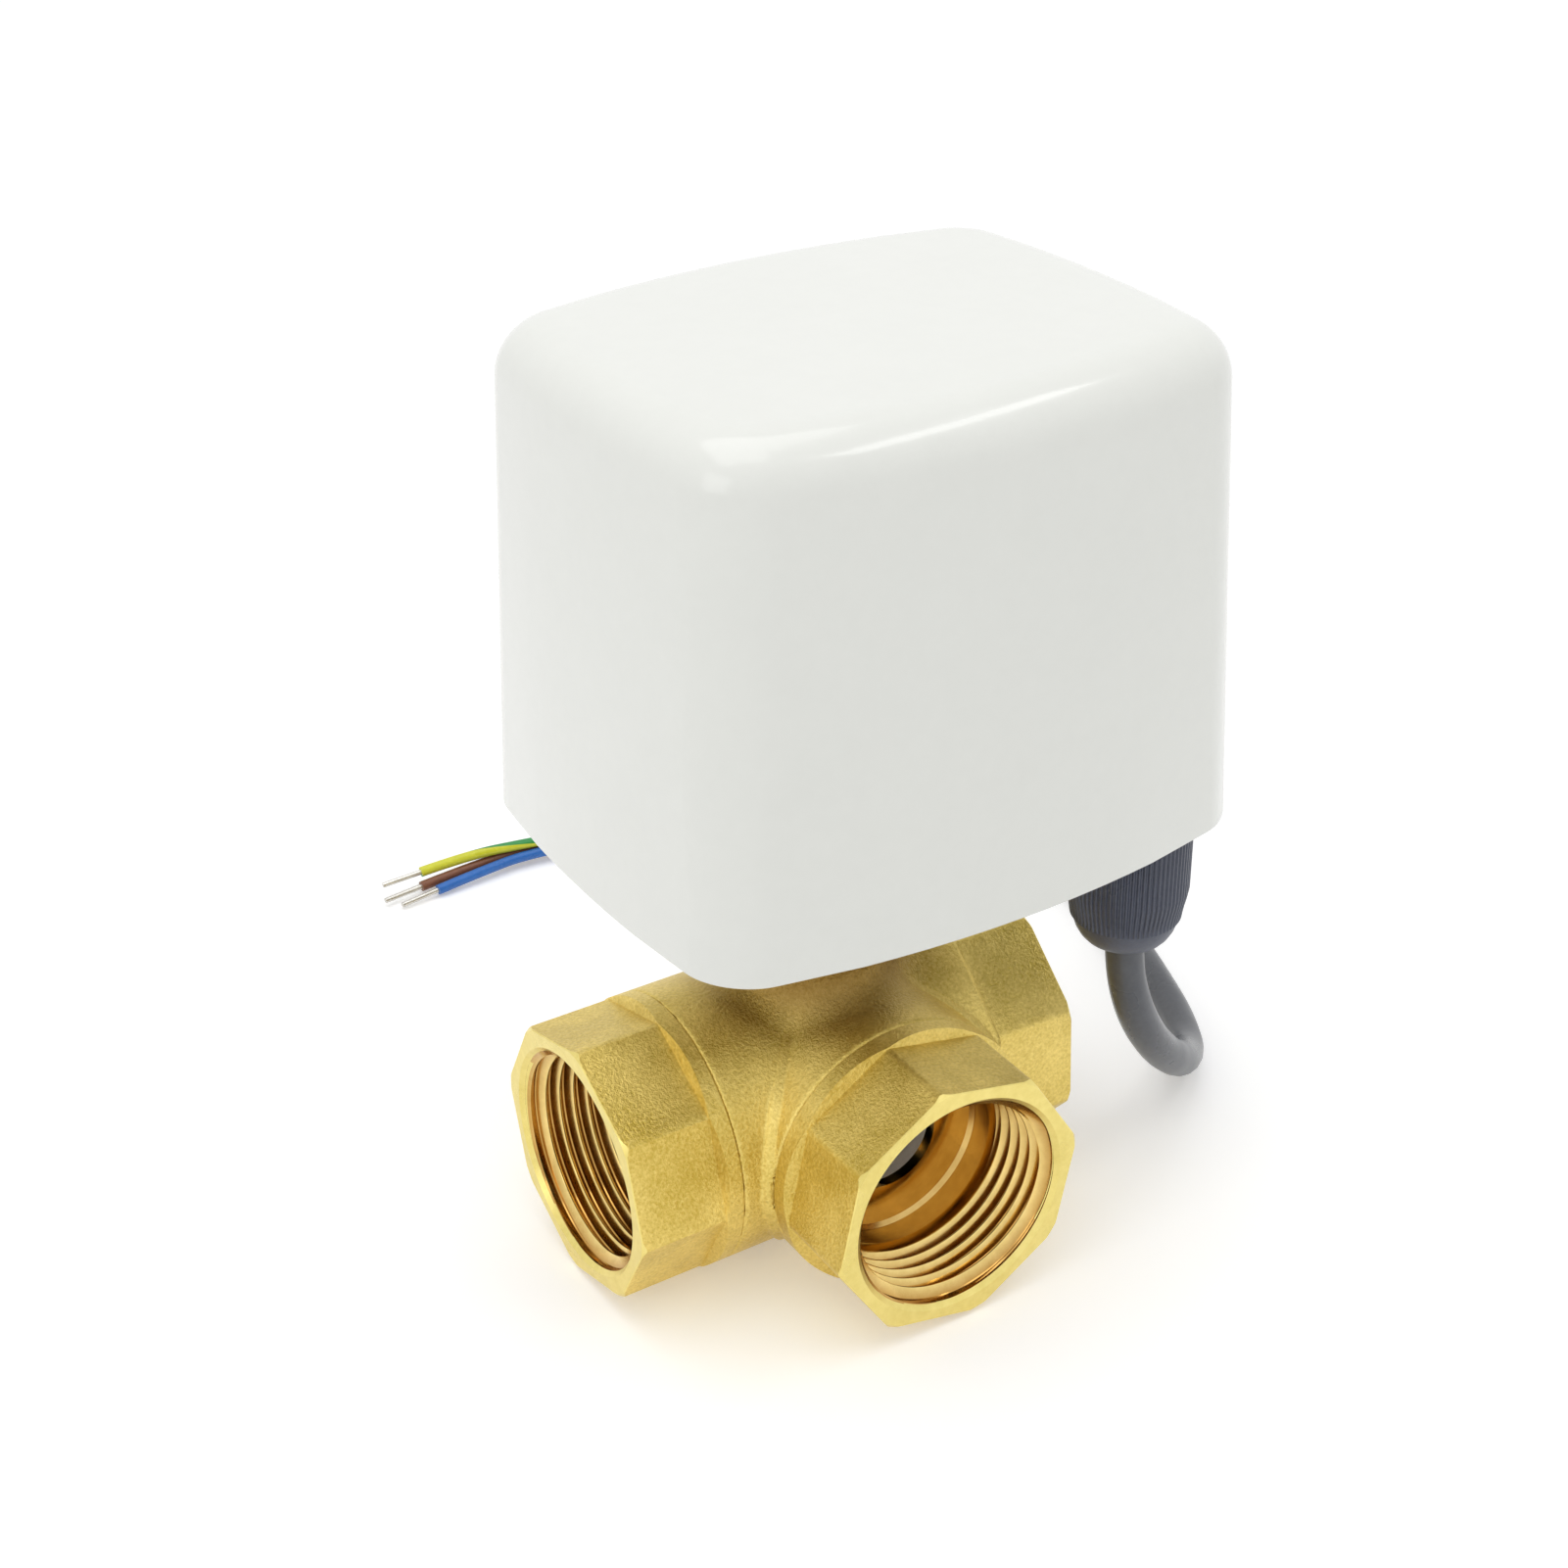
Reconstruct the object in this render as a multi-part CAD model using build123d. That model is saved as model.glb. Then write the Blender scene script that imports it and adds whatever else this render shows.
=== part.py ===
from build123d import *
import math
import os

os.makedirs("parts", exist_ok=True)

# A brass three-way ball valve with a small electric actuator on its stem.
# The origin is where the three port axes cross, +Z runs up the stem, and the
# ports face -X (left), -Y (front) and +X (right). All sizes are millimetres.

# Ports and valve body
tapping_radius = 15.15
thread_length = 13.3
mouth_radius = 17.3
relief_radius = 14.4
relief_length = 4.15
passage_radius = 7.5
tube_radius = 20.7
across_flats = 38.0
flats_length = 13.3
left_face = 40.9
front_face = 38.35
right_face = 34.2
left_seam = 24.7
front_seam = 21.9
left_turn = 15.5
front_turn = -12.65
right_turn = -3.0
nose_radius = 16.6
nose_end = 17.9
seal_thickness = 0.8
seat_pocket_depth = 1.3
right_web = 2.6
joint_fit = 0.1
flat_runout = 0.5
overcut = 1.0
neck_radius = 12.0
neck_fillet = 3.0
flange_radius = 17.0
flange_thickness = 6.0
flange_top = 45.5

# Ball, seats and stem
ball_radius = 13.5
ball_seat_gap = 0.2
seat_radius = 11.0
seat_fit = 0.05
seat_spacing_gap = 0.15
cavity_radius = 14.0
stem_radius = 5.0
collar_radius = 6.5
collar_thickness = 2.0
collar_fit = 0.2
ball_to_collar = 0.5
washer_thickness = 1.0
tang_thickness = 4.8
tang_width = 9.0
tang_fit = 0.1
slot_wall = 1.9
running_fit = 0.05
ring_section = 0.9
ring_heights = (23.0, 28.0)
stem_flat = 3.0
stem_top = 53.0
flats_start = 44.0

# Actuator housing
cover_rim = 44.5
cover_height = 72.2
cover_centre_x = 8.4
cover_half_x = 45.5
cover_half_y = 38.6
bow_x = 2.3
bow_y = 5.5
cover_corner = 7.8
cover_draft = 2.1
cover_top_fillet = 7.4
cover_wall = 2.5
plate_thickness = 4.5
plate_gap = 0.9
gasket_height = 2.0
post_radius = 3.5
left_post_inset_x = 11.0
left_post_inset_y = 12.1
right_post_inset_x = 7.3
right_post_y = 10.0
post_overlap = 0.5
cover_screw_radius = 1.45
cover_screw_length = 11.0
cover_head_radius = 3.0
cover_head_height = 1.8
base_screw_distance = 11.5
base_screw_radius = 1.9
base_head_radius = 3.4
base_head_height = 2.2
base_screw_depth = 4.5
screw_fit = 0.15
screw_tip_gap = 1.0
head_sink = 0.1
gasket_lift = 1.0
gasket_fit = 0.05
drive_depth_share = 0.5
drive_length_share = 0.6
drive_width_share = 0.12

# Drive train
shaft_radius = 5.0
shaft_flat = 4.0
shaft_end_radius = 4.0
coupling_radius = 7.0
coupling_bottom = 46.5
coupling_height = 10.5
gear_module = 1.0
output_teeth = 40
idler_pinion_teeth = 12
fine_module = 0.8
idler_teeth = 36
motor_teeth = 10
pressure_angle = 25.0
addendum = 0.8
dedendum = 1.15
backlash = 0.14
output_gear_width = 5.0
fine_gear_width = 3.0
idler_angle = 15.0
motor_angle = -136.0
axle_radius = 2.0
hub_radius = 3.6
axial_gap = 0.3
hub_step = 1.5
hub_wall = 2.5
web_depth = 1.2
web_inset = 3.5
press_gap = 0.02
top_gap = 0.5
pinion_overhang = 0.3
pinion_clearance = 1.5
flank_points = 4
root_lean = 0.02
frame_plate = 1.5
lower_frame_height = 16.0
upper_frame_height = 13.5
frame_gap_x = 12.5
frame_gap_y = 12.6
frame_corner = 6.0
frame_centre_x = 9.25
column_inset_x = 3.75
column_inset_y = 4.5
gland_column_y = -13.5
column_radius = 2.5
column_screw_radius = 1.3
column_screw_depth = 3.0
column_tip_gap = 0.5
column_head_radius = 2.4
column_head_height = 2.0

# Cam and limit switches
cam_thickness = 4.6
cam_low = 8.9
cam_high = 10.1
lever_gap = 0.3
lever_thickness = 0.5
lever_height = 3.6
lever_reach = 11.5
lever_pivot_y = 8.5
lever_swing = 8.0
lever_side_gap = 0.1
pivot_radius = 0.6
pivot_eye = 0.95
pivot_to_switch = 1.2
switch_depth = 10.2
switch_length = 20.0
switch_height = 6.4
switch_pad_height = 6.0
switch_button_radius = 1.0
switch_button_y = 2.0
switch_screw_x = 18.5
switch_screw_y = 5.0
switch_screw_radius = 0.9
switch_screw_length = 10.0
switch_head_radius = 1.9
switch_head_height = 1.4
tag_spacing = 7.0
tag_width = 3.2
tag_length = 4.5
tag_thickness = 0.6
cam_points = 48
cam_gap = 0.2

# Motor
motor_gap = 13.6
motor_height = 22.0
motor_rim = 1.0
motor_rim_height = 2.5
motor_rim_slope = 0.7
motor_edge = 1.5
motor_wall = 1.0
motor_boss_radius = 3.0
coil_gap = 5.0
coil_inner_radius = 12.0
coil_height = 8.0
motor_lug_offset = 3.0
motor_lug_radius = 3.4
motor_lug_thickness = 1.2
motor_shaft_radius = 1.5
motor_shaft_depth = 9.0
motor_shaft_gap = 0.5
motor_screw_tip = 1.0
motor_screw_radius = 1.4
motor_head_radius = 2.7
motor_head_height = 1.8

# Board, relay and terminals
board_length = 40.0
board_height = 26.0
board_thickness = 1.6
board_centre_x = 12.0
board_inset = 9.1
board_fit = 0.1
rib_width = 4.0
rib_wall = 2.0
rib_height = 3.0
relay_length = 19.0
relay_depth = 10.0
relay_height = 12.5
relay_lift = 2.0
relay_edge = 0.8
terminal_pitch = 8.0
terminal_count = 3
terminal_depth = 8.5
terminal_height = 11.0
terminal_inset = 8.6
terminal_edge = 1.5
terminal_screw_radius = 1.8
terminal_screw_height = 2.4
terminal_entry_radius = 1.5
terminal_entry_height = 4.0
terminal_screw_drop = 0.5
terminal_slot_width = 0.6
terminal_slot_depth = 0.8

# Cable gland and cable
gland_inset_x = 15.4
gland_inset_y = 14.3
gland_thread_radius = 6.2
gland_hex = 15.0
gland_hex_height = 5.2
gland_collar_radius = 7.2
rim_clearance = 0.3
gland_neck_radius = 5.9
sleeve_wall = 1.9
sleeve_overlap = 1.0
neck_lift = 3.0
nut_gap = 0.2
gland_play = 0.3
nut_bottom = 23.7
nut_radius = 9.0
nut_rib_radius = 8.3
nut_rib_bottom = 30.7
nut_shoulder_radius = 7.7
nut_shoulder_lift = 3.9
nut_dome_radius = 6.2
nut_dome_lift = 1.4
nut_mouth_radius = 3.9
nut_taper_length = 3.5
rib_start = 1.2
rib_count = 48
rib_depth = 0.3
groove_width = 0.55
sleeve_bottom = 29.6
cable_radius = 2.9
cable_fit = 0.02
cable_inner_top = 56.0
cable_drop = 3.1
arc_share = 0.45
core_radius = 0.95
strand_radius = 0.5
strand_length = 7.5

# Values worked out from those above
floor_z = -tube_radius
cable_floor = floor_z + cable_radius
mouth_chamfer = mouth_radius - tapping_radius
thread_depth = thread_length + relief_length
socket_floor = nose_end - seal_thickness
right_pocket_end = right_face - thread_depth - right_web
right_cavity_end = right_pocket_end - seat_pocket_depth
flange_bottom = flange_top - flange_thickness
plate_bottom = flange_top
plate_top = plate_bottom + plate_thickness
cover_top = cover_rim + cover_height
collar_bottom = ball_radius + ball_to_collar
collar_top = collar_bottom + collar_thickness
coupling_top = coupling_bottom + coupling_height
lower_frame = plate_top + lower_frame_height
upper_frame = lower_frame + frame_plate + upper_frame_height
motor_bottom = upper_frame + frame_plate
output_low = lower_frame + frame_plate + hub_step
idler_low = lower_frame + frame_plate + axial_gap
fine_low = output_low + output_gear_width + hub_step
cam_bottom = coupling_top + cam_gap
switch_bottom = plate_top + switch_pad_height
lever_low = switch_bottom + (switch_height - lever_height) / 2
board_y = cover_half_y - board_inset
terminal_y = terminal_inset - cover_half_y
gland_x = cover_centre_x + cover_half_x - gland_inset_x
gland_y = gland_inset_y - cover_half_y
hex_top = cover_rim - rim_clearance
hex_bottom = hex_top - gland_hex_height
sleeve_top = hex_bottom + sleeve_overlap
bore_radius = cable_radius + cable_fit
cover_head_seat = plate_bottom + cover_head_height + head_sink
lever_face = cam_high + lever_gap
pivot_x = lever_face + pivot_eye
switch_face = pivot_x + pivot_to_switch
idler_distance = gear_module * (output_teeth + idler_pinion_teeth) / 2
motor_distance = fine_module * (idler_teeth + motor_teeth) / 2
idler_x = idler_distance * math.cos(math.radians(idler_angle))
idler_y = idler_distance * math.sin(math.radians(idler_angle))
motor_x = idler_x + motor_distance * math.cos(math.radians(motor_angle))
motor_y = idler_y + motor_distance * math.sin(math.radians(motor_angle))
frame_length = 2 * (cover_half_x - frame_gap_x)
frame_width = 2 * (cover_half_y - frame_gap_y)
motor_radius = cover_half_y - motor_gap
motor_lug_reach = motor_radius + motor_lug_offset
coil_outer_radius = motor_radius - coil_gap
column_left = frame_centre_x - frame_length / 2 + column_inset_x
column_right = frame_centre_x + frame_length / 2 - column_inset_x
column_back = frame_width / 2 - column_inset_y
column_points = ((column_left, column_back), (column_left, -column_back), (column_right, column_back),
                 (column_right, gland_column_y))
left_post_x = cover_centre_x - cover_half_x + left_post_inset_x
left_post_y = cover_half_y - left_post_inset_y
right_post_x = cover_centre_x + cover_half_x - right_post_inset_x
cover_screw_points = ((left_post_x, left_post_y), (left_post_x, -left_post_y), (right_post_x, right_post_y),
                      (right_post_x, -right_post_y))

LEFT = Plane(origin=(0, 0, 0), x_dir=(0, -1, 0), z_dir=(-1, 0, 0))
FRONT = Plane(origin=(0, 0, 0), x_dir=(1, 0, 0), z_dir=(0, -1, 0))
RIGHT = Plane(origin=(0, 0, 0), x_dir=(0, 1, 0), z_dir=(1, 0, 0))


def save(name, shape):
    export_step(shape, "parts/" + name + ".step")


def turned(*points):
    """A solid turned about Z from (radius, height) points."""
    return revolve(Plane.XZ * make_face(Polyline(*points, close=True)), Axis.Z)


def rod(radius, low, high, x=0.0, y=0.0):
    """An upright round bar from one height to another."""
    bar = Cylinder(radius, high - low, align=(Align.CENTER, Align.CENTER, Align.MIN))
    return Pos(x, y, low) * bar


def block(x0, x1, y0, y1, z0, z1):
    """A box from its lowest to its highest corner."""
    size = Box(x1 - x0, y1 - y0, z1 - z0, align=(Align.MIN, Align.MIN, Align.MIN))
    return Pos(x0, y0, z0) * size


def group(solids):
    return Compound(children=list(solids))


# Ports are drawn along +Z, outward from the valve's centre, and then laid along their axes

def octagon(apothem, turn, height):
    shape = RegularPolygon(apothem, 8, major_radius=False, rotation=22.5 + turn)
    return Pos(0, 0, height) * shape


def milled_flats(face, turn):
    """What is left of the round tube where the eight flats are milled."""
    back = face - flats_length
    rise = tube_radius - across_flats / 2 + flat_runout
    prism = extrude(octagon(across_flats / 2, turn, back), flats_length)
    ramp = loft([octagon(across_flats / 2, turn, back), octagon(across_flats / 2 + rise, turn, back - rise)])
    ring = rod(tube_radius + overcut, back - rise, face)
    return ring - prism - ramp


def port_bore(face):
    """The threaded bore, its chamfered mouth, the relief behind the thread and the passage."""
    floor = face - thread_depth
    return turned(
        (0, floor), (relief_radius, floor), (relief_radius, face - thread_length),
        (tapping_radius, face - thread_length), (tapping_radius, face - mouth_chamfer),
        (mouth_radius, face), (mouth_radius, face + overcut), (0, face + overcut),
    )


def seat_pocket(pocket_end):
    return rod(seat_radius + seat_fit, 0, pocket_end)


def end_connector(face, seam, turn):
    """A screwed-in port end with its nose, drawn along +Z."""
    body = rod(tube_radius, seam, face) + rod(nose_radius, nose_end, seam)
    body -= milled_flats(face, turn)
    body -= port_bore(face)
    body -= rod(passage_radius, 0, face)
    return body - seat_pocket(nose_end + seat_pocket_depth)


def connector_seal():
    """A flat ring between the nose and the step at the bottom of its socket."""
    return rod(nose_radius, socket_floor, nose_end) - rod(seat_radius + joint_fit, 0, nose_end)


def ball_seat(outer_end):
    """A seat ring: a tube whose inner end is hollowed to the ball and bevelled at 45 degrees."""
    ring = rod(seat_radius, 0, outer_end) - rod(passage_radius, 0, outer_end)
    ring -= Sphere(ball_radius + ball_seat_gap)
    reach = seat_radius + overcut
    gap = seat_spacing_gap
    bevel = turned((0, gap), (reach, reach + gap), (reach, -overcut), (0, -overcut))
    return ring - bevel


def make_valve_body():
    """The forged tee with the right port, the neck and the actuator flange."""
    body = LEFT * rod(tube_radius, -right_face, left_seam)
    body += FRONT * rod(tube_radius, 0, front_seam)
    body += rod(neck_radius, 0, flange_bottom)
    joints = [e for e in body.edges() if neck_radius / 2 < e.center().Z < tube_radius + overcut
              and math.hypot(e.center().X, e.center().Y) < neck_radius + overcut]
    body = fillet(joints, neck_fillet)
    body += rod(flange_radius, flange_bottom, flange_top)
    body -= RIGHT * milled_flats(right_face, right_turn)
    body -= RIGHT * port_bore(right_face)
    body -= RIGHT * rod(passage_radius, 0, right_face)
    body -= RIGHT * seat_pocket(right_pocket_end)
    body -= RIGHT * rod(cavity_radius, -socket_floor, right_cavity_end)
    body -= FRONT * rod(cavity_radius, 0, socket_floor)
    body -= LEFT * rod(nose_radius + joint_fit, socket_floor, left_seam)
    body -= FRONT * rod(nose_radius + joint_fit, socket_floor, front_seam)
    body -= rod(collar_radius + collar_fit, 0, collar_top + running_fit + washer_thickness)
    body -= rod(stem_radius + running_fit, 0, flange_top)
    for hole in PolarLocations(base_screw_distance, 4, start_angle=45):
        body -= hole * rod(base_screw_radius, flange_top - base_screw_depth - screw_tip_gap, flange_top)
    return body


def make_ball():
    """The ball with its T-shaped passage and the slot for the stem's tang."""
    ball = Sphere(ball_radius)
    ball -= RIGHT * rod(passage_radius, -ball_radius, ball_radius)
    ball -= FRONT * rod(passage_radius, 0, ball_radius)
    slot_bottom = passage_radius + slot_wall
    width = tang_thickness / 2 + tang_fit
    return ball - block(-width, width, -ball_radius, ball_radius, slot_bottom, ball_radius)


def make_stem():
    """The stem: tang, collar, two ring grooves and two flats at the top."""
    tang_bottom = passage_radius + slot_wall + tang_fit
    stem = rod(stem_radius, collar_bottom, stem_top)
    stem += rod(collar_radius, collar_bottom, collar_top)
    half = tang_thickness / 2
    tang = block(-half, half, -tang_width / 2, tang_width / 2, tang_bottom, collar_bottom)
    stem += tang
    for height in ring_heights:
        half_groove = ring_section + joint_fit
        groove = rod(stem_radius + overcut, height - half_groove, height + half_groove)
        stem -= groove - rod(stem_radius - 2 * ring_section, 0, stem_top)
    for side in (-1, 1):
        near = side * stem_flat
        far = side * (stem_radius + overcut)
        stem -= block(min(near, far), max(near, far), -stem_radius, stem_radius, flats_start, stem_top)
    return stem


def make_stem_rings():
    radius = stem_radius - ring_section
    return group(Pos(0, 0, height) * Torus(radius, ring_section) for height in ring_heights)


# Actuator housing: every outline is the same bowed rectangle, grown or shrunk

def bowed_outline(inset, height, corner):
    """A rectangle with four slightly bowed sides and round corners."""
    x = cover_half_x - inset
    y = cover_half_y - inset
    corner_x = x - bow_x
    corner_y = y - bow_y
    lines = Curve() + [
        ThreePointArc((corner_x, -corner_y), (x, 0), (corner_x, corner_y)),
        ThreePointArc((corner_x, corner_y), (0, y), (-corner_x, corner_y)),
        ThreePointArc((-corner_x, corner_y), (-x, 0), (-corner_x, -corner_y)),
        ThreePointArc((-corner_x, -corner_y), (0, -y), (corner_x, -corner_y)),
    ]
    face = make_face(lines)
    face = fillet(face.vertices(), corner)
    return Pos(cover_centre_x, 0, height) * face


def tapered_shell(inset, top):
    """The outline drawn upwards from the rim with the mould's draft."""
    lean = (top - cover_rim) * math.tan(math.radians(cover_draft))
    corner = cover_corner - inset
    return loft([bowed_outline(inset, cover_rim, corner), bowed_outline(inset + lean, top, corner)])


def plate_outline(height):
    return bowed_outline(cover_wall + plate_gap, height, cover_corner - cover_wall - plate_gap)


def make_cover():
    """The white moulded cover: a drafted shell with four screw posts inside."""
    outside = tapered_shell(0, cover_top)
    outside = fillet(outside.edges().group_by(Axis.Z)[-1], cover_top_fillet)
    ceiling = cover_top - cover_wall
    inside = tapered_shell(cover_wall, ceiling)
    inside = fillet(inside.edges().group_by(Axis.Z)[-1], cover_top_fillet - cover_wall)
    cover = outside - inside
    for x, y in cover_screw_points:
        post = rod(post_radius, plate_top, ceiling + post_overlap, x, y)
        cover += post & outside
        cover -= rod(cover_screw_radius, plate_top, plate_top + cover_screw_length, x, y)
    return cover


def make_base_plate():
    """The plate that closes the housing and carries the gear frame."""
    plate = extrude(plate_outline(plate_bottom), plate_thickness)
    plate -= rod(coupling_radius + running_fit, plate_bottom, plate_top)
    plate -= rod(gland_thread_radius + running_fit, plate_bottom, plate_top, gland_x, gland_y)
    for hole in PolarLocations(base_screw_distance, 4, start_angle=45):
        plate -= hole * rod(base_screw_radius + screw_fit, plate_bottom, plate_top)
    for x, y in cover_screw_points:
        plate -= rod(cover_screw_radius + screw_fit, plate_bottom, plate_top, x, y)
        plate -= rod(cover_head_radius + screw_fit, plate_bottom, cover_head_seat, x, y)
    pad = block(switch_face, switch_face + switch_depth, -switch_length / 2, switch_length / 2,
                plate_top, plate_top + switch_pad_height)
    for side in (0, 180):
        plate += Rot(0, 0, side) * pad
        for y in (-switch_screw_y, switch_screw_y):
            hole = rod(switch_screw_radius, plate_top, plate_top + switch_pad_height, switch_screw_x, y)
            plate -= Rot(0, 0, side) * hole
    board_back = board_y + board_thickness
    for end in (-1, 1):
        x = board_centre_x + end * (board_length - rib_width) / 2
        rib = block(x - rib_width / 2, x + rib_width / 2, board_y - rib_wall, board_back + rib_wall,
                    plate_top, plate_top + rib_height)
        slot = block(x - rib_width, x + rib_width, board_y - board_fit, board_back + board_fit,
                     plate_top, plate_top + rib_height)
        plate += rib - slot
    for x, y in column_points:
        plate -= rod(column_screw_radius, plate_top - column_screw_depth, plate_top, x, y)
    return plate


def make_gasket():
    """The soft ring squeezed between the plate's edge and the cover's wall."""
    low = plate_bottom + gasket_lift
    lean = (low + gasket_height - cover_rim) * math.tan(math.radians(cover_draft))
    corner = cover_corner - cover_wall
    outer = extrude(bowed_outline(cover_wall + lean + gasket_fit, low, corner), gasket_height)
    inner = extrude(plate_outline(low), gasket_height)
    return outer - inner


def pan_screw(radius, length, head_radius, head_height):
    """A screw that points down, with the underside of its head at height 0 and a crossed drive."""
    screw = rod(radius, -length, 0) + rod(head_radius, 0, head_height)
    reach = head_radius * drive_length_share
    half = head_radius * drive_width_share
    for turn in (0, 90):
        slot = block(-reach, reach, -half, half, head_height * drive_depth_share, head_height)
        screw -= Rot(0, 0, turn) * slot
    return screw


def make_cover_screws():
    length = cover_screw_length + plate_top - cover_head_seat - screw_tip_gap
    screw = Rot(180, 0, 0) * pan_screw(cover_screw_radius, length, cover_head_radius, cover_head_height)
    return group(Pos(x, y, cover_head_seat) * screw for x, y in cover_screw_points)


def make_base_screws():
    length = plate_thickness + base_screw_depth
    screw = pan_screw(base_screw_radius, length, base_head_radius, base_head_height)
    holes = PolarLocations(base_screw_distance, 4, start_angle=45)
    return group(Pos(0, 0, plate_top) * (hole * screw) for hole in holes)


# Gear train

def involute(angle):
    return math.tan(angle) - angle


def gear_outline(teeth, module, turn):
    """An involute gear with a tooth centred on the angle turn, in degrees."""
    pitch = teeth * module / 2
    base = pitch * math.cos(math.radians(pressure_angle))
    root = pitch - dedendum * module
    tip = pitch + addendum * module
    half = math.pi / (2 * teeth) - backlash * module / (2 * pitch)
    swell = involute(math.radians(pressure_angle))
    first = max(root, base)
    flank = []
    for step in range(flank_points):
        radius = first + (tip - first) * step / (flank_points - 1)
        lean = involute(math.acos(min(1.0, base / radius)))
        flank.append((radius, half + swell - lean))
    if root < base:
        flank.insert(0, (root, flank[0][1] + root_lean))
    points = []
    for tooth in range(teeth):
        middle = math.radians(turn) + 2 * math.pi * tooth / teeth
        for radius, angle in flank:
            points.append((radius * math.cos(middle - angle), radius * math.sin(middle - angle)))
        for radius, angle in reversed(flank):
            points.append((radius * math.cos(middle + angle), radius * math.sin(middle + angle)))
    return make_face(Polyline(*points, close=True))


def gear(teeth, module, turn, low, width):
    return Pos(0, 0, low) * extrude(gear_outline(teeth, module, turn), width)


def flatted_bar(radius, flat, low, high):
    return rod(radius, low, high) & block(-flat, flat, -radius, radius, low, high)


def make_output_shaft():
    """The shaft: a socket over the stem's flats, a flatted seat for cam and gear, a round end."""
    shaft = rod(coupling_radius, coupling_bottom, coupling_top)
    shaft += flatted_bar(shaft_radius, shaft_flat, coupling_top, output_low + output_gear_width)
    shaft += rod(shaft_end_radius, output_low + output_gear_width, motor_bottom - top_gap)
    shaft -= flatted_bar(stem_radius + tang_fit, stem_flat + tang_fit, coupling_bottom, stem_top + top_gap)
    return shaft


def make_output_gear():
    wheel = gear(output_teeth, gear_module, idler_angle, output_low, output_gear_width)
    top = output_low + output_gear_width
    wheel += rod(shaft_radius + hub_wall, idler_low, output_low)
    wheel -= flatted_bar(shaft_radius + press_gap, shaft_flat + press_gap, idler_low, top)
    web = rod(output_teeth * gear_module / 2 - web_inset, top - web_depth, top)
    return wheel - (web - rod(shaft_radius + hub_wall, top - web_depth, top))


def make_idler():
    """The idler: a small pinion for the output gear under a larger fine wheel."""
    spin = idler_angle + 180 + 180 / idler_pinion_teeth
    body = gear(idler_pinion_teeth, gear_module, spin, idler_low, fine_low - idler_low)
    body += gear(idler_teeth, fine_module, motor_angle, fine_low, fine_gear_width)
    body += rod(hub_radius, fine_low, upper_frame - axial_gap)
    body -= rod(axle_radius + running_fit, idler_low, upper_frame)
    return Pos(idler_x, idler_y, 0) * body


def make_motor_pinion():
    spin = motor_angle + 180 + 180 / motor_teeth
    width = fine_gear_width + 2 * pinion_overhang
    body = gear(motor_teeth, fine_module, spin, fine_low - pinion_overhang, width)
    body += rod(motor_shaft_radius, fine_low, motor_bottom + motor_shaft_depth)
    return Pos(motor_x, motor_y, 0) * body


def frame_plate_solid(low):
    plate = Box(frame_length, frame_width, frame_plate, align=(Align.CENTER, Align.CENTER, Align.MIN))
    plate = fillet(plate.edges().filter_by(Axis.Z), frame_corner)
    plate = Pos(frame_centre_x, 0, low) * plate
    for x, y in column_points:
        plate -= rod(column_screw_radius + screw_fit, low, low + frame_plate, x, y)
    return plate - rod(axle_radius, low, low + frame_plate, idler_x, idler_y)


def make_lower_plate():
    return frame_plate_solid(lower_frame) - rod(shaft_radius + running_fit, lower_frame, output_low)


def motor_screw_points():
    return [(motor_x + side * motor_lug_reach, motor_y) for side in (-1, 1)]


def make_upper_plate():
    plate = frame_plate_solid(upper_frame)
    plate -= rod(shaft_end_radius + running_fit, upper_frame, motor_bottom)
    opening = motor_teeth * fine_module / 2 + pinion_clearance
    plate -= rod(opening, upper_frame, motor_bottom, motor_x, motor_y)
    for x, y in motor_screw_points():
        plate -= rod(motor_screw_radius, upper_frame, motor_bottom, x, y)
    return plate


def make_columns(low, high):
    tube = rod(column_radius, low, high) - rod(column_screw_radius + screw_fit, low, high)
    return group(Pos(x, y, 0) * tube for x, y in column_points)


def make_column_screws():
    length = motor_bottom - plate_top + column_screw_depth - column_tip_gap
    screw = pan_screw(column_screw_radius, length, column_head_radius, column_head_height)
    return group(Pos(x, y, motor_bottom) * screw for x, y in column_points)


def make_motor():
    """The flat synchronous motor: a drawn can with a rolled rim, a hollow inside and two lugs."""
    top = motor_bottom + motor_height
    waist = motor_radius - motor_rim
    rim_top = motor_bottom + motor_rim_height
    can = turned(
        (0, motor_bottom), (motor_radius, motor_bottom), (motor_radius, rim_top),
        (waist, rim_top + motor_rim_slope), (waist, top - motor_edge), (waist - motor_edge, top), (0, top),
    )
    inside = rod(waist - motor_wall, motor_bottom + motor_wall, top - motor_wall - motor_edge)
    can -= inside - rod(motor_boss_radius, motor_bottom, top)
    lug_top = motor_bottom + motor_lug_thickness
    reach, half = motor_lug_reach, motor_lug_radius
    lugs = block(-reach, reach, -half, half, motor_bottom, lug_top)
    can += lugs - rod(waist, motor_bottom, lug_top)
    for side in (-1, 1):
        can += rod(motor_lug_radius, motor_bottom, lug_top, side * motor_lug_reach)
        can -= rod(motor_screw_radius + screw_fit, motor_bottom, lug_top, side * motor_lug_reach)
    bore_top = motor_bottom + motor_shaft_depth + motor_shaft_gap
    can -= rod(motor_shaft_radius + running_fit, motor_bottom, bore_top)
    return Pos(motor_x, motor_y, 0) * can


def make_coil():
    """The motor's ring winding, which lies on the bottom of the can."""
    low = motor_bottom + motor_wall
    ring = rod(coil_outer_radius, low, low + coil_height) - rod(coil_inner_radius, low, low + coil_height)
    return Pos(motor_x, motor_y, 0) * ring


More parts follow.
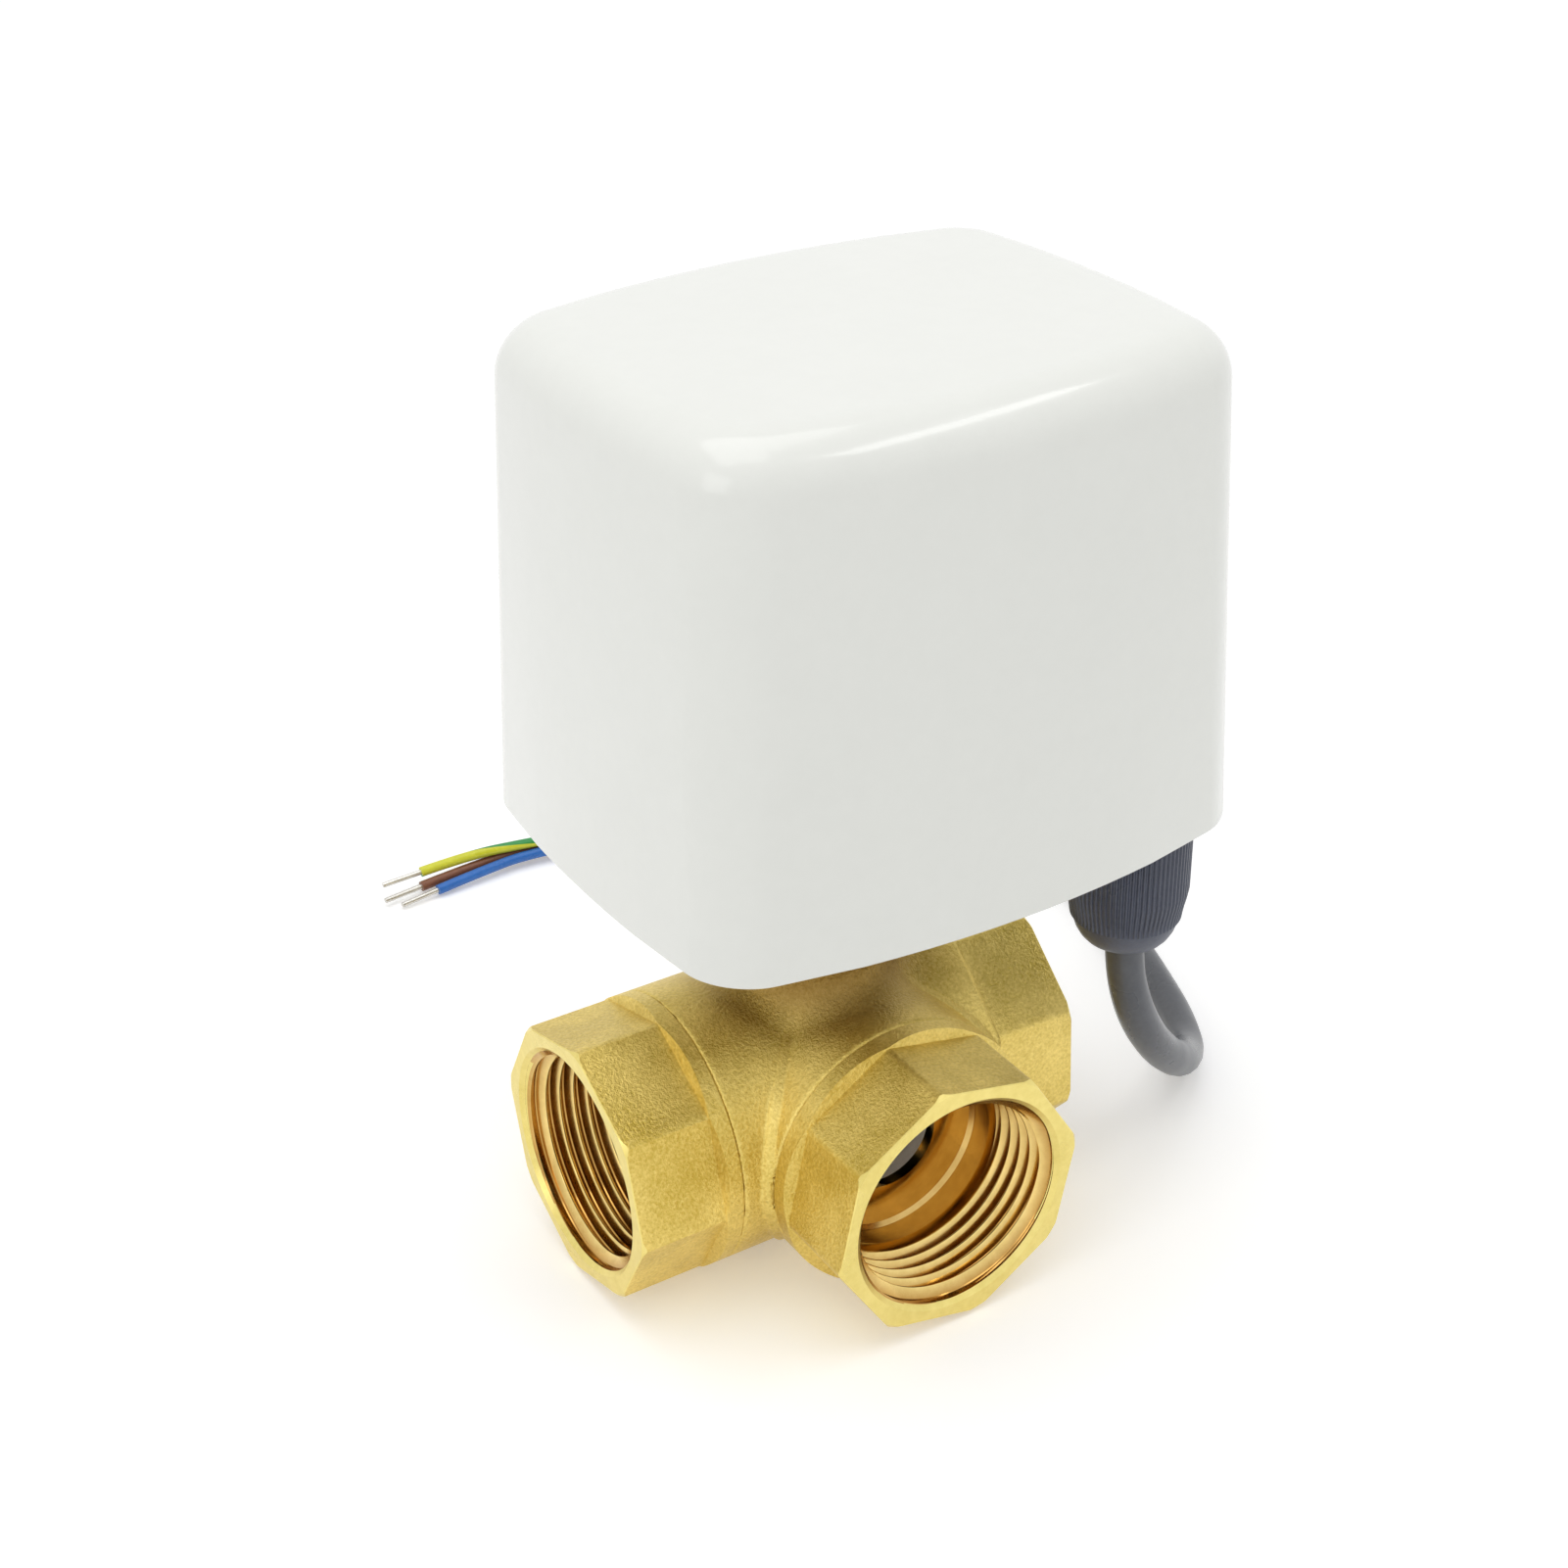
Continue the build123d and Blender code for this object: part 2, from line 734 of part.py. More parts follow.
def make_motor_screws():
    length = motor_lug_thickness + frame_plate + motor_screw_tip
    screw = pan_screw(motor_screw_radius, length, motor_head_radius, motor_head_height)
    height = motor_bottom + motor_lug_thickness
    return group(Pos(x, y, height) * screw for x, y in motor_screw_points())


# Cam and limit switches

def cam_radius(angle):
    """Low on one side, high on the other, with a quarter turn of ramp between them."""
    angle = (angle + 90) % 360
    if angle < 90:
        share = angle / 90
    elif angle < 180:
        share = 1.0
    elif angle < 270:
        share = (270 - angle) / 90
    else:
        share = 0.0
    return cam_low + (cam_high - cam_low) * share


def make_cam():
    points = []
    for step in range(cam_points):
        angle = step * 360 / cam_points
        radius = cam_radius(angle)
        points.append((radius * math.cos(math.radians(angle)), radius * math.sin(math.radians(angle))))
    disc = extrude(make_face(Polyline(*points, close=True)), cam_thickness)
    disc = Pos(0, 0, cam_bottom) * disc
    top = cam_bottom + cam_thickness
    return disc - flatted_bar(shaft_radius + press_gap, shaft_flat + press_gap, cam_bottom, top)


def make_lever(swing):
    """A thin lever beside the cam, drawn pressed and then swung towards the cam."""
    blade = block(lever_face, lever_face + lever_thickness, -lever_pivot_y, lever_reach - lever_pivot_y,
                  lever_low, lever_low + lever_height)
    eye = rod(pivot_eye, lever_low, lever_low + lever_height, pivot_x, -lever_pivot_y)
    lever = blade + eye - rod(pivot_radius + running_fit, lever_low, lever_low + lever_height,
                              pivot_x, -lever_pivot_y)
    swung = Pos(-pivot_x, lever_pivot_y, 0) * lever
    return Pos(pivot_x, -lever_pivot_y, 0) * (Rot(0, 0, swing) * swung)


def make_switch():
    """A small switch: case, button, pivot ears with the lever's pin, and three tags."""
    case = block(switch_face, switch_face + switch_depth, -switch_length / 2, switch_length / 2,
                 switch_bottom, switch_bottom + switch_height)
    middle = switch_bottom + switch_height / 2
    reach = switch_face - lever_face - lever_thickness - lever_gap
    button = Cylinder(switch_button_radius, 2 * reach, rotation=(0, 90, 0))
    case += Pos(switch_face, switch_button_y, middle) * button
    ears = ((switch_bottom, lever_low - lever_side_gap),
            (lever_low + lever_height + lever_side_gap, switch_bottom + switch_height))
    for low, high in ears:
        ear = block(pivot_x - pivot_eye, switch_face, -pivot_eye, pivot_eye, low, high)
        case += Pos(0, -lever_pivot_y, 0) * ear
    case += rod(pivot_radius, switch_bottom, switch_bottom + switch_height, pivot_x, -lever_pivot_y)
    for y in (-switch_screw_y, switch_screw_y):
        case -= rod(switch_screw_radius + screw_fit, switch_bottom, switch_bottom + switch_height,
                    switch_screw_x, y)
    back = switch_face + switch_depth
    for y in (-tag_spacing, 0, tag_spacing):
        case += block(back, back + tag_length, y - tag_width / 2, y + tag_width / 2,
                      middle - tag_thickness / 2, middle + tag_thickness / 2)
    return case


def make_switch_screws():
    screw = pan_screw(switch_screw_radius, switch_screw_length, switch_head_radius, switch_head_height)
    top = switch_bottom + switch_height
    places = [(sx * switch_screw_x, y) for sx in (-1, 1) for y in (-switch_screw_y, switch_screw_y)]
    return group(Pos(x, y, top) * screw for x, y in places)


# Board, relay and terminals

def make_board():
    x0 = board_centre_x - board_length / 2
    top = plate_top + board_height
    return block(x0, x0 + board_length, board_y, board_y + board_thickness, plate_top, top)


def make_relay():
    low = plate_top + relay_lift
    x0 = board_centre_x - relay_length / 2
    relay = block(x0, x0 + relay_length, board_y - relay_depth, board_y, low, low + relay_height)
    front = relay.faces().sort_by(Axis.Y)[0]
    return fillet(front.edges(), relay_edge)


def terminal_places():
    middle = (terminal_count - 1) / 2
    return [cover_centre_x + (i - middle) * terminal_pitch for i in range(terminal_count)]


def make_terminal_block():
    length = terminal_count * terminal_pitch
    x0 = cover_centre_x - length / 2
    y0 = terminal_y - terminal_depth / 2
    top = plate_top + terminal_height
    body = block(x0, x0 + length, y0, y0 + terminal_depth, plate_top, top)
    body = chamfer(body.faces().sort_by(Axis.Z)[-1].edges().filter_by(Axis.X), terminal_edge)
    seat = top - terminal_screw_height - terminal_screw_drop
    for x in terminal_places():
        body -= rod(terminal_screw_radius + screw_fit, seat, top, x, terminal_y)
        entry = Cylinder(terminal_entry_radius, terminal_depth, rotation=(90, 0, 0))
        body -= Pos(x, terminal_y, plate_top + terminal_entry_height) * entry
    return body


def make_terminal_screws():
    top = plate_top + terminal_height - terminal_screw_drop
    screw = rod(terminal_screw_radius, top - terminal_screw_height, top)
    half = terminal_slot_width / 2
    slot = block(-terminal_screw_radius, terminal_screw_radius, -half, half, top - terminal_slot_depth, top)
    return group(Pos(x, terminal_y, 0) * (screw - slot) for x in terminal_places())


# Cable gland

def at_gland(shape):
    return Pos(gland_x, gland_y, 0) * shape


def make_gland_body():
    """The gland's hexagon, its thread in the plate and the neck that the nut screws on."""
    flange = Pos(0, 0, hex_bottom) * RegularPolygon(gland_hex / 2, 6, major_radius=False)
    body = extrude(flange, gland_hex_height)
    body += rod(gland_collar_radius, hex_top, plate_bottom)
    body += rod(gland_thread_radius, plate_bottom, plate_top)
    body += rod(gland_neck_radius, sleeve_bottom + neck_lift, hex_bottom)
    body -= rod(bore_radius + sleeve_wall, sleeve_bottom, sleeve_top)
    body -= rod(bore_radius + gland_play, sleeve_bottom, plate_top)
    return at_gland(body)


def make_gland_sleeve():
    """The rubber sleeve that the nut squeezes on the cable."""
    body = rod(bore_radius + sleeve_wall, sleeve_bottom, sleeve_top)
    return at_gland(body - rod(bore_radius, sleeve_bottom, sleeve_top))


def make_dome_nut():
    """The dome nut: a ribbed skirt that closes in a smooth dome round the cable."""
    top = hex_bottom - nut_gap
    inner = bore_radius + gland_play
    shoulder = nut_bottom + nut_shoulder_lift
    taper_top = nut_rib_bottom + nut_taper_length
    outline = Curve() + [
        Line((inner, nut_bottom), (nut_mouth_radius, nut_bottom)),
        ThreePointArc((nut_mouth_radius, nut_bottom), (nut_dome_radius, nut_bottom + nut_dome_lift),
                      (nut_shoulder_radius, shoulder)),
        Line((nut_shoulder_radius, shoulder), (nut_rib_radius, nut_rib_bottom)),
        Line((nut_rib_radius, nut_rib_bottom), (nut_radius, taper_top)),
        Line((nut_radius, taper_top), (nut_radius, top)),
        Line((nut_radius, top), (gland_neck_radius, top)),
        Line((gland_neck_radius, top), (gland_neck_radius, sleeve_bottom)),
        Line((gland_neck_radius, sleeve_bottom), (inner, sleeve_bottom)),
        Line((inner, sleeve_bottom), (inner, nut_bottom)),
    ]
    nut = revolve(Plane.XZ * make_face(outline), Axis.Z)
    groove = block(nut_radius - rib_depth, nut_radius + overcut, -groove_width / 2, groove_width / 2,
                   nut_rib_bottom + rib_start, top)
    for place in PolarLocations(0, rib_count):
        nut -= place * groove
    return at_gland(nut)


# Cable and its three cores, each swept along straight runs joined by tangent arcs

cable_points = [
    (gland_x, gland_y, sleeve_bottom), (gland_x, gland_y, nut_bottom - cable_drop),
    (40.4, -24.6, 11.6), (45.0, -23.5, 3.2),
    (52.0, -20.3, -5.0), (60.0, -15.0, -12.2), (67.3, -8.2, -16.8), (72.5, 0.7, cable_floor),
    (76.3, 10.7, cable_floor), (80.0, 21.6, cable_floor), (84.0, 33.0, cable_floor),
    (86.6, 46.0, cable_floor), (84.6, 60.0, cable_floor), (77.6, 73.4, cable_floor),
    (67.0, 85.0, cable_floor), (54.0, 94.4, cable_floor), (40.0, 101.4, cable_floor),
    (27.0, 106.0, cable_floor), (15.0, 108.6, cable_floor),
]


def swept_tube(points, radius, name):
    """A round tube along the points, with arcs as large as the runs allow."""
    radii = []
    for before, here, after in zip(points, points[1:], points[2:]):
        run_in = Vector(*here) - Vector(*before)
        run_out = Vector(*after) - Vector(*here)
        turn = math.radians(run_in.get_angle(run_out))
        radii.append(arc_share * min(run_in.length, run_out.length) / math.tan(turn / 2))
    path = FilletPolyline(*points, radius=radii)
    section = Plane(origin=path @ 0, z_dir=path % 0) * Circle(radius)
    tube = sweep(section, path)
    print(name, "length", round(path.length, 1), "least radius", round(min(radii), 1),
          "volume ratio", round(tube.volume / (math.pi * radius ** 2 * path.length), 4))
    return tube


# Each core leaves the sheath's end at its own place in the bundle and then spreads a little
core_places = {
    "earth_conductor": (0.0, 1.15),
    "brown_conductor": (1.0, -0.58),
    "blue_conductor": (-1.0, -0.58),
}
core_routes = {
    "earth_conductor": [(-4.5, 112.4, 1.2), (-14.2, 113.0, 0.4)],
    "brown_conductor": [(-5.0, 111.6, -0.9), (-15.2, 110.9, -1.3)],
    "blue_conductor": [(-4.0, 109.0, -0.9), (-13.0, 108.4, -1.5)],
}
core_first_run = 9.0


def core_points(name):
    """The first run leaves the sheath square to its end."""
    end = Vector(*cable_points[-1])
    way = (end - Vector(*cable_points[-2])).normalized()
    across = Vector(-way.Y, way.X, 0) * -1
    side, lift = core_places[name]
    start = end + across * side + Vector(0, 0, lift)
    first = start + way * core_first_run
    rest = [(x, y, cable_floor + z) for x, y, z in core_routes[name]]
    return [tuple(start), tuple(first)] + rest


def make_tips():
    """The stripped strands that carry on from the end of each core."""
    tips = []
    for name in core_routes:
        before, end = core_points(name)[-2:]
        way = (Vector(*end) - Vector(*before)).normalized()
        section = Plane(origin=end, z_dir=way) * Circle(strand_radius)
        tips.append(extrude(section, strand_length))
    return group(tips)


save("valve_body", make_valve_body())
save("left_end_connector", LEFT * end_connector(left_face, left_seam, left_turn))
save("front_end_connector", FRONT * end_connector(front_face, front_seam, front_turn))
save("left_connector_seal", LEFT * connector_seal())
save("front_connector_seal", FRONT * connector_seal())
save("left_ball_seat", LEFT * ball_seat(nose_end + seat_pocket_depth))
save("front_ball_seat", FRONT * ball_seat(nose_end + seat_pocket_depth))
save("right_ball_seat", RIGHT * ball_seat(right_pocket_end))
save("valve_ball", make_ball())
save("valve_stem", make_stem())
washer = rod(collar_radius, collar_top + running_fit, collar_top + running_fit + washer_thickness)
save("stem_thrust_washer", washer - rod(stem_radius + running_fit, 0, stem_top))
save("stem_o_rings", make_stem_rings())
save("actuator_cover", make_cover())
save("cover_gasket", make_gasket())
save("cover_screws", make_cover_screws())
save("base_plate", make_base_plate())
save("base_plate_screws", make_base_screws())
save("output_shaft", make_output_shaft())
save("limit_cam", make_cam())
save("output_gear", make_output_gear())
save("idler_gear", make_idler())
save("idler_axle", rod(axle_radius, lower_frame, motor_bottom, idler_x, idler_y))
save("motor_pinion", make_motor_pinion())
save("lower_gear_plate", make_lower_plate())
save("upper_gear_plate", make_upper_plate())
save("lower_columns", make_columns(plate_top, lower_frame))
save("upper_columns", make_columns(lower_frame + frame_plate, upper_frame))
save("column_screws", make_column_screws())
save("motor", make_motor())
save("motor_coil", make_coil())
save("motor_screws", make_motor_screws())
save("closed_limit_switch", make_switch())
save("open_limit_switch", Rot(0, 0, 180) * make_switch())
save("closed_switch_lever", make_lever(0))
save("open_switch_lever", Rot(0, 0, 180) * make_lever(lever_swing))
save("limit_switch_screws", make_switch_screws())
save("control_board", make_board())
save("control_relay", make_relay())
save("terminal_block", make_terminal_block())
save("terminal_screws", make_terminal_screws())
save("gland_body", make_gland_body())
save("gland_sleeve", make_gland_sleeve())
save("gland_dome_nut", make_dome_nut())
save("cable_inner_end", rod(cable_radius, sleeve_bottom, cable_inner_top, gland_x, gland_y))
save("power_cable", swept_tube(cable_points, cable_radius, "power_cable"))
for core in core_routes:
    save(core, swept_tube(core_points(core), core_radius, core))
save("conductor_tips", make_tips())
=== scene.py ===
import math

import bmesh
import bpy
from mathutils import Matrix, Vector


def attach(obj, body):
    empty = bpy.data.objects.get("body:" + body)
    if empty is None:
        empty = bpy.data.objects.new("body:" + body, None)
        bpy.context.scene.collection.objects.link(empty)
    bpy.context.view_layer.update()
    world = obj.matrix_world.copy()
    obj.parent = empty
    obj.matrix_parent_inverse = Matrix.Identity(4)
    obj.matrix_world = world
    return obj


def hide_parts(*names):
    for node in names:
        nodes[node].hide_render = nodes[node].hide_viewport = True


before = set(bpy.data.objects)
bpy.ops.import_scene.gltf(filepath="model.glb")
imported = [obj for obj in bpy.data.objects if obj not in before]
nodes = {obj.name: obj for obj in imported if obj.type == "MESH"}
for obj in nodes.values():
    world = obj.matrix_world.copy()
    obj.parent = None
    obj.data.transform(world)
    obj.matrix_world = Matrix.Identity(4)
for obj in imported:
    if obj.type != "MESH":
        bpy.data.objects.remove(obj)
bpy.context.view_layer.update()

mm = 0.001


# The camera stands in front of the valve, to the left of the front port, and
# looks down on the cover's top. Its place is given along its own three axes.
azimuth = math.radians(-31.52)
elevation = math.radians(29.24)
roll = math.radians(-0.9)
sideways = -4.503
lifted = 43.396
distance = 385.244
camera_data = bpy.data.cameras.new("photo_camera")
camera_data.sensor_width = 36.0
camera_data.sensor_fit = "HORIZONTAL"
camera_data.lens = 58.56
camera_data.clip_start = 0.01
camera_data.clip_end = 20.0
camera = bpy.data.objects.new("photo_camera", camera_data)
bpy.context.scene.collection.objects.link(camera)
back = Vector((math.sin(azimuth) * math.cos(elevation), -math.cos(azimuth) * math.cos(elevation),
               math.sin(elevation)))
level = Vector((math.cos(azimuth), math.sin(azimuth), 0.0))
upright = back.cross(level)
right = math.cos(roll) * level + math.sin(roll) * upright
up = -math.sin(roll) * level + math.cos(roll) * upright
place = (sideways * right + lifted * up + distance * back) * mm
camera.matrix_world = Matrix((
    (right.x, up.x, back.x, place.x),
    (right.y, up.y, back.y, place.y),
    (right.z, up.z, back.z, place.z),
    (0, 0, 0, 1),
))
bpy.context.scene.camera = camera


# The brass body, forged as a tee with the right port, the neck and the flange
# in one piece. Its skin is blasted to a dull grain and its edges are soft. The
# right port's eight flats, its face and its pipe thread are cut afterwards.
tube_radius = 20.7
flat_reach = 19.0
flats_length = 13.3
ramp_run = 0.4
face_rim = 19.9
small_edge = 0.15
corner_wear = 0.08
mouth_radius = 17.3
thread_root = 16.62
thread_crest = 15.15
thread_pitch = 2.309
thread_length = 13.3
ridge_turns = 8
ridge_run_in = 1.2
ridge_foot = 0.96
ridge_shoulder = 0.19
ridge_top = 0.09
ridge_round = 0.09
ridge_sunk = 0.2
relief_radius = 14.4
relief_length = 4.15
relief_bevel = 0.6
port_steps = 240
thread_steps = 120
left_seam = 24.7
front_seam = 21.9

# every finish shares one grain, fine bumps with fine and broad shifts of tone
grain = bpy.data.node_groups.new("skin_grain", "ShaderNodeTree")
for label in ("Scale", "Depth", "Size"):
    grain.interface.new_socket(label, in_out="INPUT", socket_type="NodeSocketFloat")
for label, kind in (("Normal", "NodeSocketVector"), ("Mask", "NodeSocketFloat"), ("Cloud", "NodeSocketFloat")):
    grain.interface.new_socket(label, in_out="OUTPUT", socket_type=kind)
grain_in = grain.nodes.new("NodeGroupInput")
grain_out = grain.nodes.new("NodeGroupOutput")
spot = grain.nodes.new("ShaderNodeTexCoord")
fine = grain.nodes.new("ShaderNodeTexNoise")
fine.inputs["Detail"].default_value = 3.0
fine.inputs["Roughness"].default_value = 0.65
broad = grain.nodes.new("ShaderNodeTexNoise")
broad.inputs["Scale"].default_value = 90.0
broad.inputs["Detail"].default_value = 4.0
relief = grain.nodes.new("ShaderNodeBump")
grain.links.new(spot.outputs["Object"], fine.inputs["Vector"])
grain.links.new(spot.outputs["Object"], broad.inputs["Vector"])
grain.links.new(grain_in.outputs["Scale"], fine.inputs["Scale"])
grain.links.new(fine.outputs["Fac"], relief.inputs["Height"])
grain.links.new(grain_in.outputs["Depth"], relief.inputs["Strength"])
grain.links.new(grain_in.outputs["Size"], relief.inputs["Distance"])
grain.links.new(relief.outputs["Normal"], grain_out.inputs["Normal"])
grain.links.new(fine.outputs["Fac"], grain_out.inputs["Mask"])
grain.links.new(broad.outputs["Fac"], grain_out.inputs["Cloud"])


def map_range(tree, value, low, high, to_low=0.0, to_high=1.0, smooth=False):
    """Bring a changing value from the range low to high into another range."""
    node = tree.nodes.new("ShaderNodeMapRange")
    node.interpolation_type = "SMOOTHSTEP" if smooth else "LINEAR"
    for label, number in (("From Min", low), ("From Max", high), ("To Min", to_low), ("To Max", to_high)):
        node.inputs[label].default_value = number
    tree.links.new(value, node.inputs["Value"])
    return node.outputs["Result"]


def arithmetic(tree, operation, first, second=0.0):
    """One step of arithmetic on numbers or changing values."""
    node = tree.nodes.new("ShaderNodeMath")
    node.operation = operation
    for value, socket in zip((first, second), node.inputs):
        if isinstance(value, float):
            socket.default_value = value
        else:
            tree.links.new(value, socket)
    return node.outputs[0]


def object_place(tree):
    """The X, Y and Z of a point in its object's own coordinates, in metres."""
    spot = tree.nodes.new("ShaderNodeTexCoord")
    split = tree.nodes.new("ShaderNodeSeparateXYZ")
    tree.links.new(spot.outputs["Object"], split.inputs["Vector"])
    return split.outputs["X"], split.outputs["Y"], split.outputs["Z"]


def finish_material(name, dark, light, roughness, scale, depth, metallic=0.0, size=0.0001, spread=0.08, coat=0.0):
    """A finish whose colour runs from dark to light, and whose gloss varies by the spread, over its grain."""
    material = bpy.data.materials.new(name)
    material.use_nodes = True
    tree = material.node_tree
    shader = tree.nodes["Principled BSDF"]
    skin = tree.nodes.new("ShaderNodeGroup")
    skin.node_tree = grain
    skin.inputs["Scale"].default_value = scale
    skin.inputs["Depth"].default_value = depth
    skin.inputs["Size"].default_value = size
    blend = tree.nodes.new("ShaderNodeMix")
    tree.links.new(skin.outputs["Mask"], blend.inputs[2])
    tree.links.new(skin.outputs["Cloud"], blend.inputs[3])
    ramp = tree.nodes.new("ShaderNodeValToRGB")
    for stop, position, colour in zip(ramp.color_ramp.elements, (0.36, 0.64), (dark, light)):
        stop.position = position
        stop.color = (*colour, 1)
    tree.links.new(blend.outputs[0], ramp.inputs["Fac"])
    tree.links.new(ramp.outputs["Color"], shader.inputs["Base Color"])
    gloss = map_range(tree, skin.outputs["Cloud"], low=0.35, high=0.65,
                      to_low=max(0.02, roughness - spread), to_high=roughness + spread)
    tree.links.new(gloss, shader.inputs["Roughness"])
    tree.links.new(skin.outputs["Normal"], shader.inputs["Normal"])
    shader.inputs["Metallic"].default_value = metallic
    shader.inputs["Coat Weight"].default_value = coat
    return material


def tint(material, amount, colour, blend_type="MULTIPLY"):
    """Lay a second colour over a finish where the amount is high."""
    tree = material.node_tree
    base = tree.nodes["Principled BSDF"].inputs["Base Color"]
    tone = tree.nodes.new("ShaderNodeMix")
    tone.data_type = "RGBA"
    tone.blend_type = blend_type
    tone.inputs["B"].default_value = (*colour, 1)
    tree.links.new(amount, tone.inputs["Factor"])
    tree.links.new(base.links[0].from_socket, tone.inputs["A"])
    tree.links.new(tone.outputs["Result"], base)


blasted_brass = finish_material("blasted_brass", (0.58, 0.42, 0.08), (0.92, 0.73, 0.24), roughness=0.42,
                                metallic=0.92, scale=2100, depth=0.6, size=0.0003)
faced_brass = finish_material("faced_brass", (0.76, 0.62, 0.19), (0.87, 0.73, 0.26), roughness=0.33,
                              metallic=0.95, scale=600, depth=0.03)
threaded_brass = finish_material("threaded_brass", (0.76, 0.55, 0.19), (0.90, 0.69, 0.27), roughness=0.17,
                                 metallic=1.0, scale=500, depth=0.04)
brass_finishes = (blasted_brass, faced_brass, threaded_brass)
skin_finish, face_finish, bore_finish = range(3)
# painted shade: the skin is darkened to a brown tone round the neck, high up under the housing, where the
# housing's shadow falls
tree = blasted_brass.node_tree
x, y, z = object_place(tree)
from_axis = arithmetic(tree, "SQRT", arithmetic(
    tree, "ADD", arithmetic(tree, "MULTIPLY", x, x), arithmetic(tree, "MULTIPLY", y, y)))
shaded_near_neck = map_range(tree, from_axis, low=0.024, high=0.013, smooth=True)
shaded_high_up = map_range(tree, z, low=0.012, high=0.023, smooth=True)
tint(blasted_brass, arithmetic(tree, "MULTIPLY", shaded_near_neck, shaded_high_up), (0.40, 0.33, 0.30))
# the colour is darker the deeper a point lies in the thread's grooves, and in the relief behind them
groove_depth = threaded_brass.node_tree.nodes.new("ShaderNodeAttribute")
groove_depth.attribute_name = "groove"
tint(threaded_brass, groove_depth.outputs["Fac"], (0.62, 0.47, 0.34))


def turn_outline(bm, outline, steps, angle=math.tau, rise=0.0):
    """Turn a closed outline of (radius, height) points about Z, in a ring or along a helix."""
    verts = [bm.verts.new((r * mm, 0, z * mm)) for r, z in outline]
    edges = [bm.edges.new(pair) for pair in zip(verts, verts[1:] + verts[:1])]
    bmesh.ops.spin(bm, geom=verts + edges, cent=(0, 0, 0), axis=(0, 0, 1), dvec=(0, 0, rise * mm / steps),
                   angle=angle, steps=steps, use_merge=rise == 0, use_duplicate=False)


def join_in(bm, part):
    """Bring a second bmesh into the first."""
    mesh = bpy.data.meshes.new("joined_part")
    part.to_mesh(mesh)
    part.free()
    bm.from_mesh(mesh)
    bpy.data.meshes.remove(mesh)


def smooth_faces(bm, sharp_from):
    """Shade a bmesh smoothly up to its edges of so many degrees or more."""
    for f in bm.faces:
        f.smooth = True
    for e in bm.edges:
        e.smooth = e.calc_face_angle(0) < math.radians(sharp_from)


def build_piece(name, bm, finishes):
    """Turn a bmesh into an object of the scene with its finishes."""
    mesh = bpy.data.meshes.new(name)
    bm.to_mesh(mesh)
    bm.free()
    for finish in finishes:
        mesh.materials.append(finish)
    piece = bpy.data.objects.new(name, mesh)
    bpy.context.scene.collection.objects.link(piece)
    return piece


def from_flat(angle, turn):
    """The angle from the middle of the nearest of the eight flats."""
    return (angle - turn + 22.5) % 45 - 22.5


def port_outline(face):
    """The outline of a port from the round tube over its flats, face and mouth to the floor of its bore."""
    back = face - flats_length
    thread_end = face - thread_length
    relief_end = thread_end - relief_length
    return [
        (tube_radius, back - 0.8), (tube_radius, back), (tube_radius, face - small_edge), (tube_radius, face),
        (mouth_radius, face), (thread_root, face - mouth_radius + thread_root), (thread_root, thread_end),
        (relief_radius, thread_end), (relief_radius, relief_end + relief_bevel),
        (relief_radius - relief_bevel, relief_end),
    ]


def cut_flats(bm, face, turn):
    """Bring the outer rings of a turned port in to its eight flats, their ramps and the turned face."""
    back = face - flats_length
    for v in bm.verts:
        x, y, z = v.co / mm
        radius = math.hypot(x, y)
        if radius < mouth_radius + 0.5 or z < back - 1:
            continue
        off = from_flat(math.degrees(math.atan2(y, x)), turn)
        cosine = math.cos(math.radians(off))
        flat = flat_reach / cosine - (corner_wear if abs(off) > 22.4 else 0.0)
        if z < back - 0.5:
            # a steep ramp behind each flat runs out and meets the round tube
            z = back - ramp_run * (tube_radius * cosine - flat_reach)
            reach = tube_radius
        elif z < face - 1:
            reach = flat
        elif z < face - small_edge / 2:
            reach = flat
            z = face - max(small_edge, flat - face_rim)
        else:
            reach = min(flat - small_edge, face_rim)
        v.co = Vector((x * reach / radius, y * reach / radius, z)) * mm


def cut_thread(bm, face):
    """The pipe thread, one long ridge wound inside the bore from its floor to its mouth."""
    low = face - thread_length - ridge_run_in * thread_pitch
    half = thread_pitch / 2
    # half the ridge's section, from the part sunk in the wall to its rounded crest
    side = [(thread_root + ridge_sunk, half), (thread_root, half), (thread_root - ridge_round, ridge_foot),
            (thread_crest + ridge_round, ridge_shoulder), (thread_crest, ridge_top)]
    outline = [(r, low - z) for r, z in side] + [(r, low + z) for r, z in reversed(side)]
    ridge = bmesh.new()
    turn_outline(ridge, outline, thread_steps * ridge_turns, math.tau * ridge_turns, thread_pitch * ridge_turns)
    bmesh.ops.holes_fill(ridge, edges=ridge.edges, sides=0)
    # the thread fades out in the mouth's bevel and stays behind the face
    for v in ridge.verts:
        radius = v.co.xy.length / mm
        height = min(v.co.z / mm, face - 0.3)
        reach = max(radius, mouth_radius + 0.02 - (face - height))
        v.co = Vector((v.co.x * reach / radius, v.co.y * reach / radius, height * mm))
    bmesh.ops.recalc_face_normals(ridge, faces=ridge.faces)
    join_in(bm, ridge)


def finish_faces(bm, face):
    """Give each face of a port its finish: the blasted skin, the turned face or the bore."""
    smooth_faces(bm, 30)
    for f in bm.faces:
        middle = f.calc_center_median() / mm
        radius = math.hypot(middle.x, middle.y)
        turned = middle.z > face - small_edge * 1.01 or (f.normal.z > 0.3 and middle.z > face - 0.7)
        if turned and radius > thread_root - 0.1:
            f.material_index = face_finish
        elif radius < thread_root + 0.3:
            f.material_index = bore_finish
        else:
            f.material_index = skin_finish


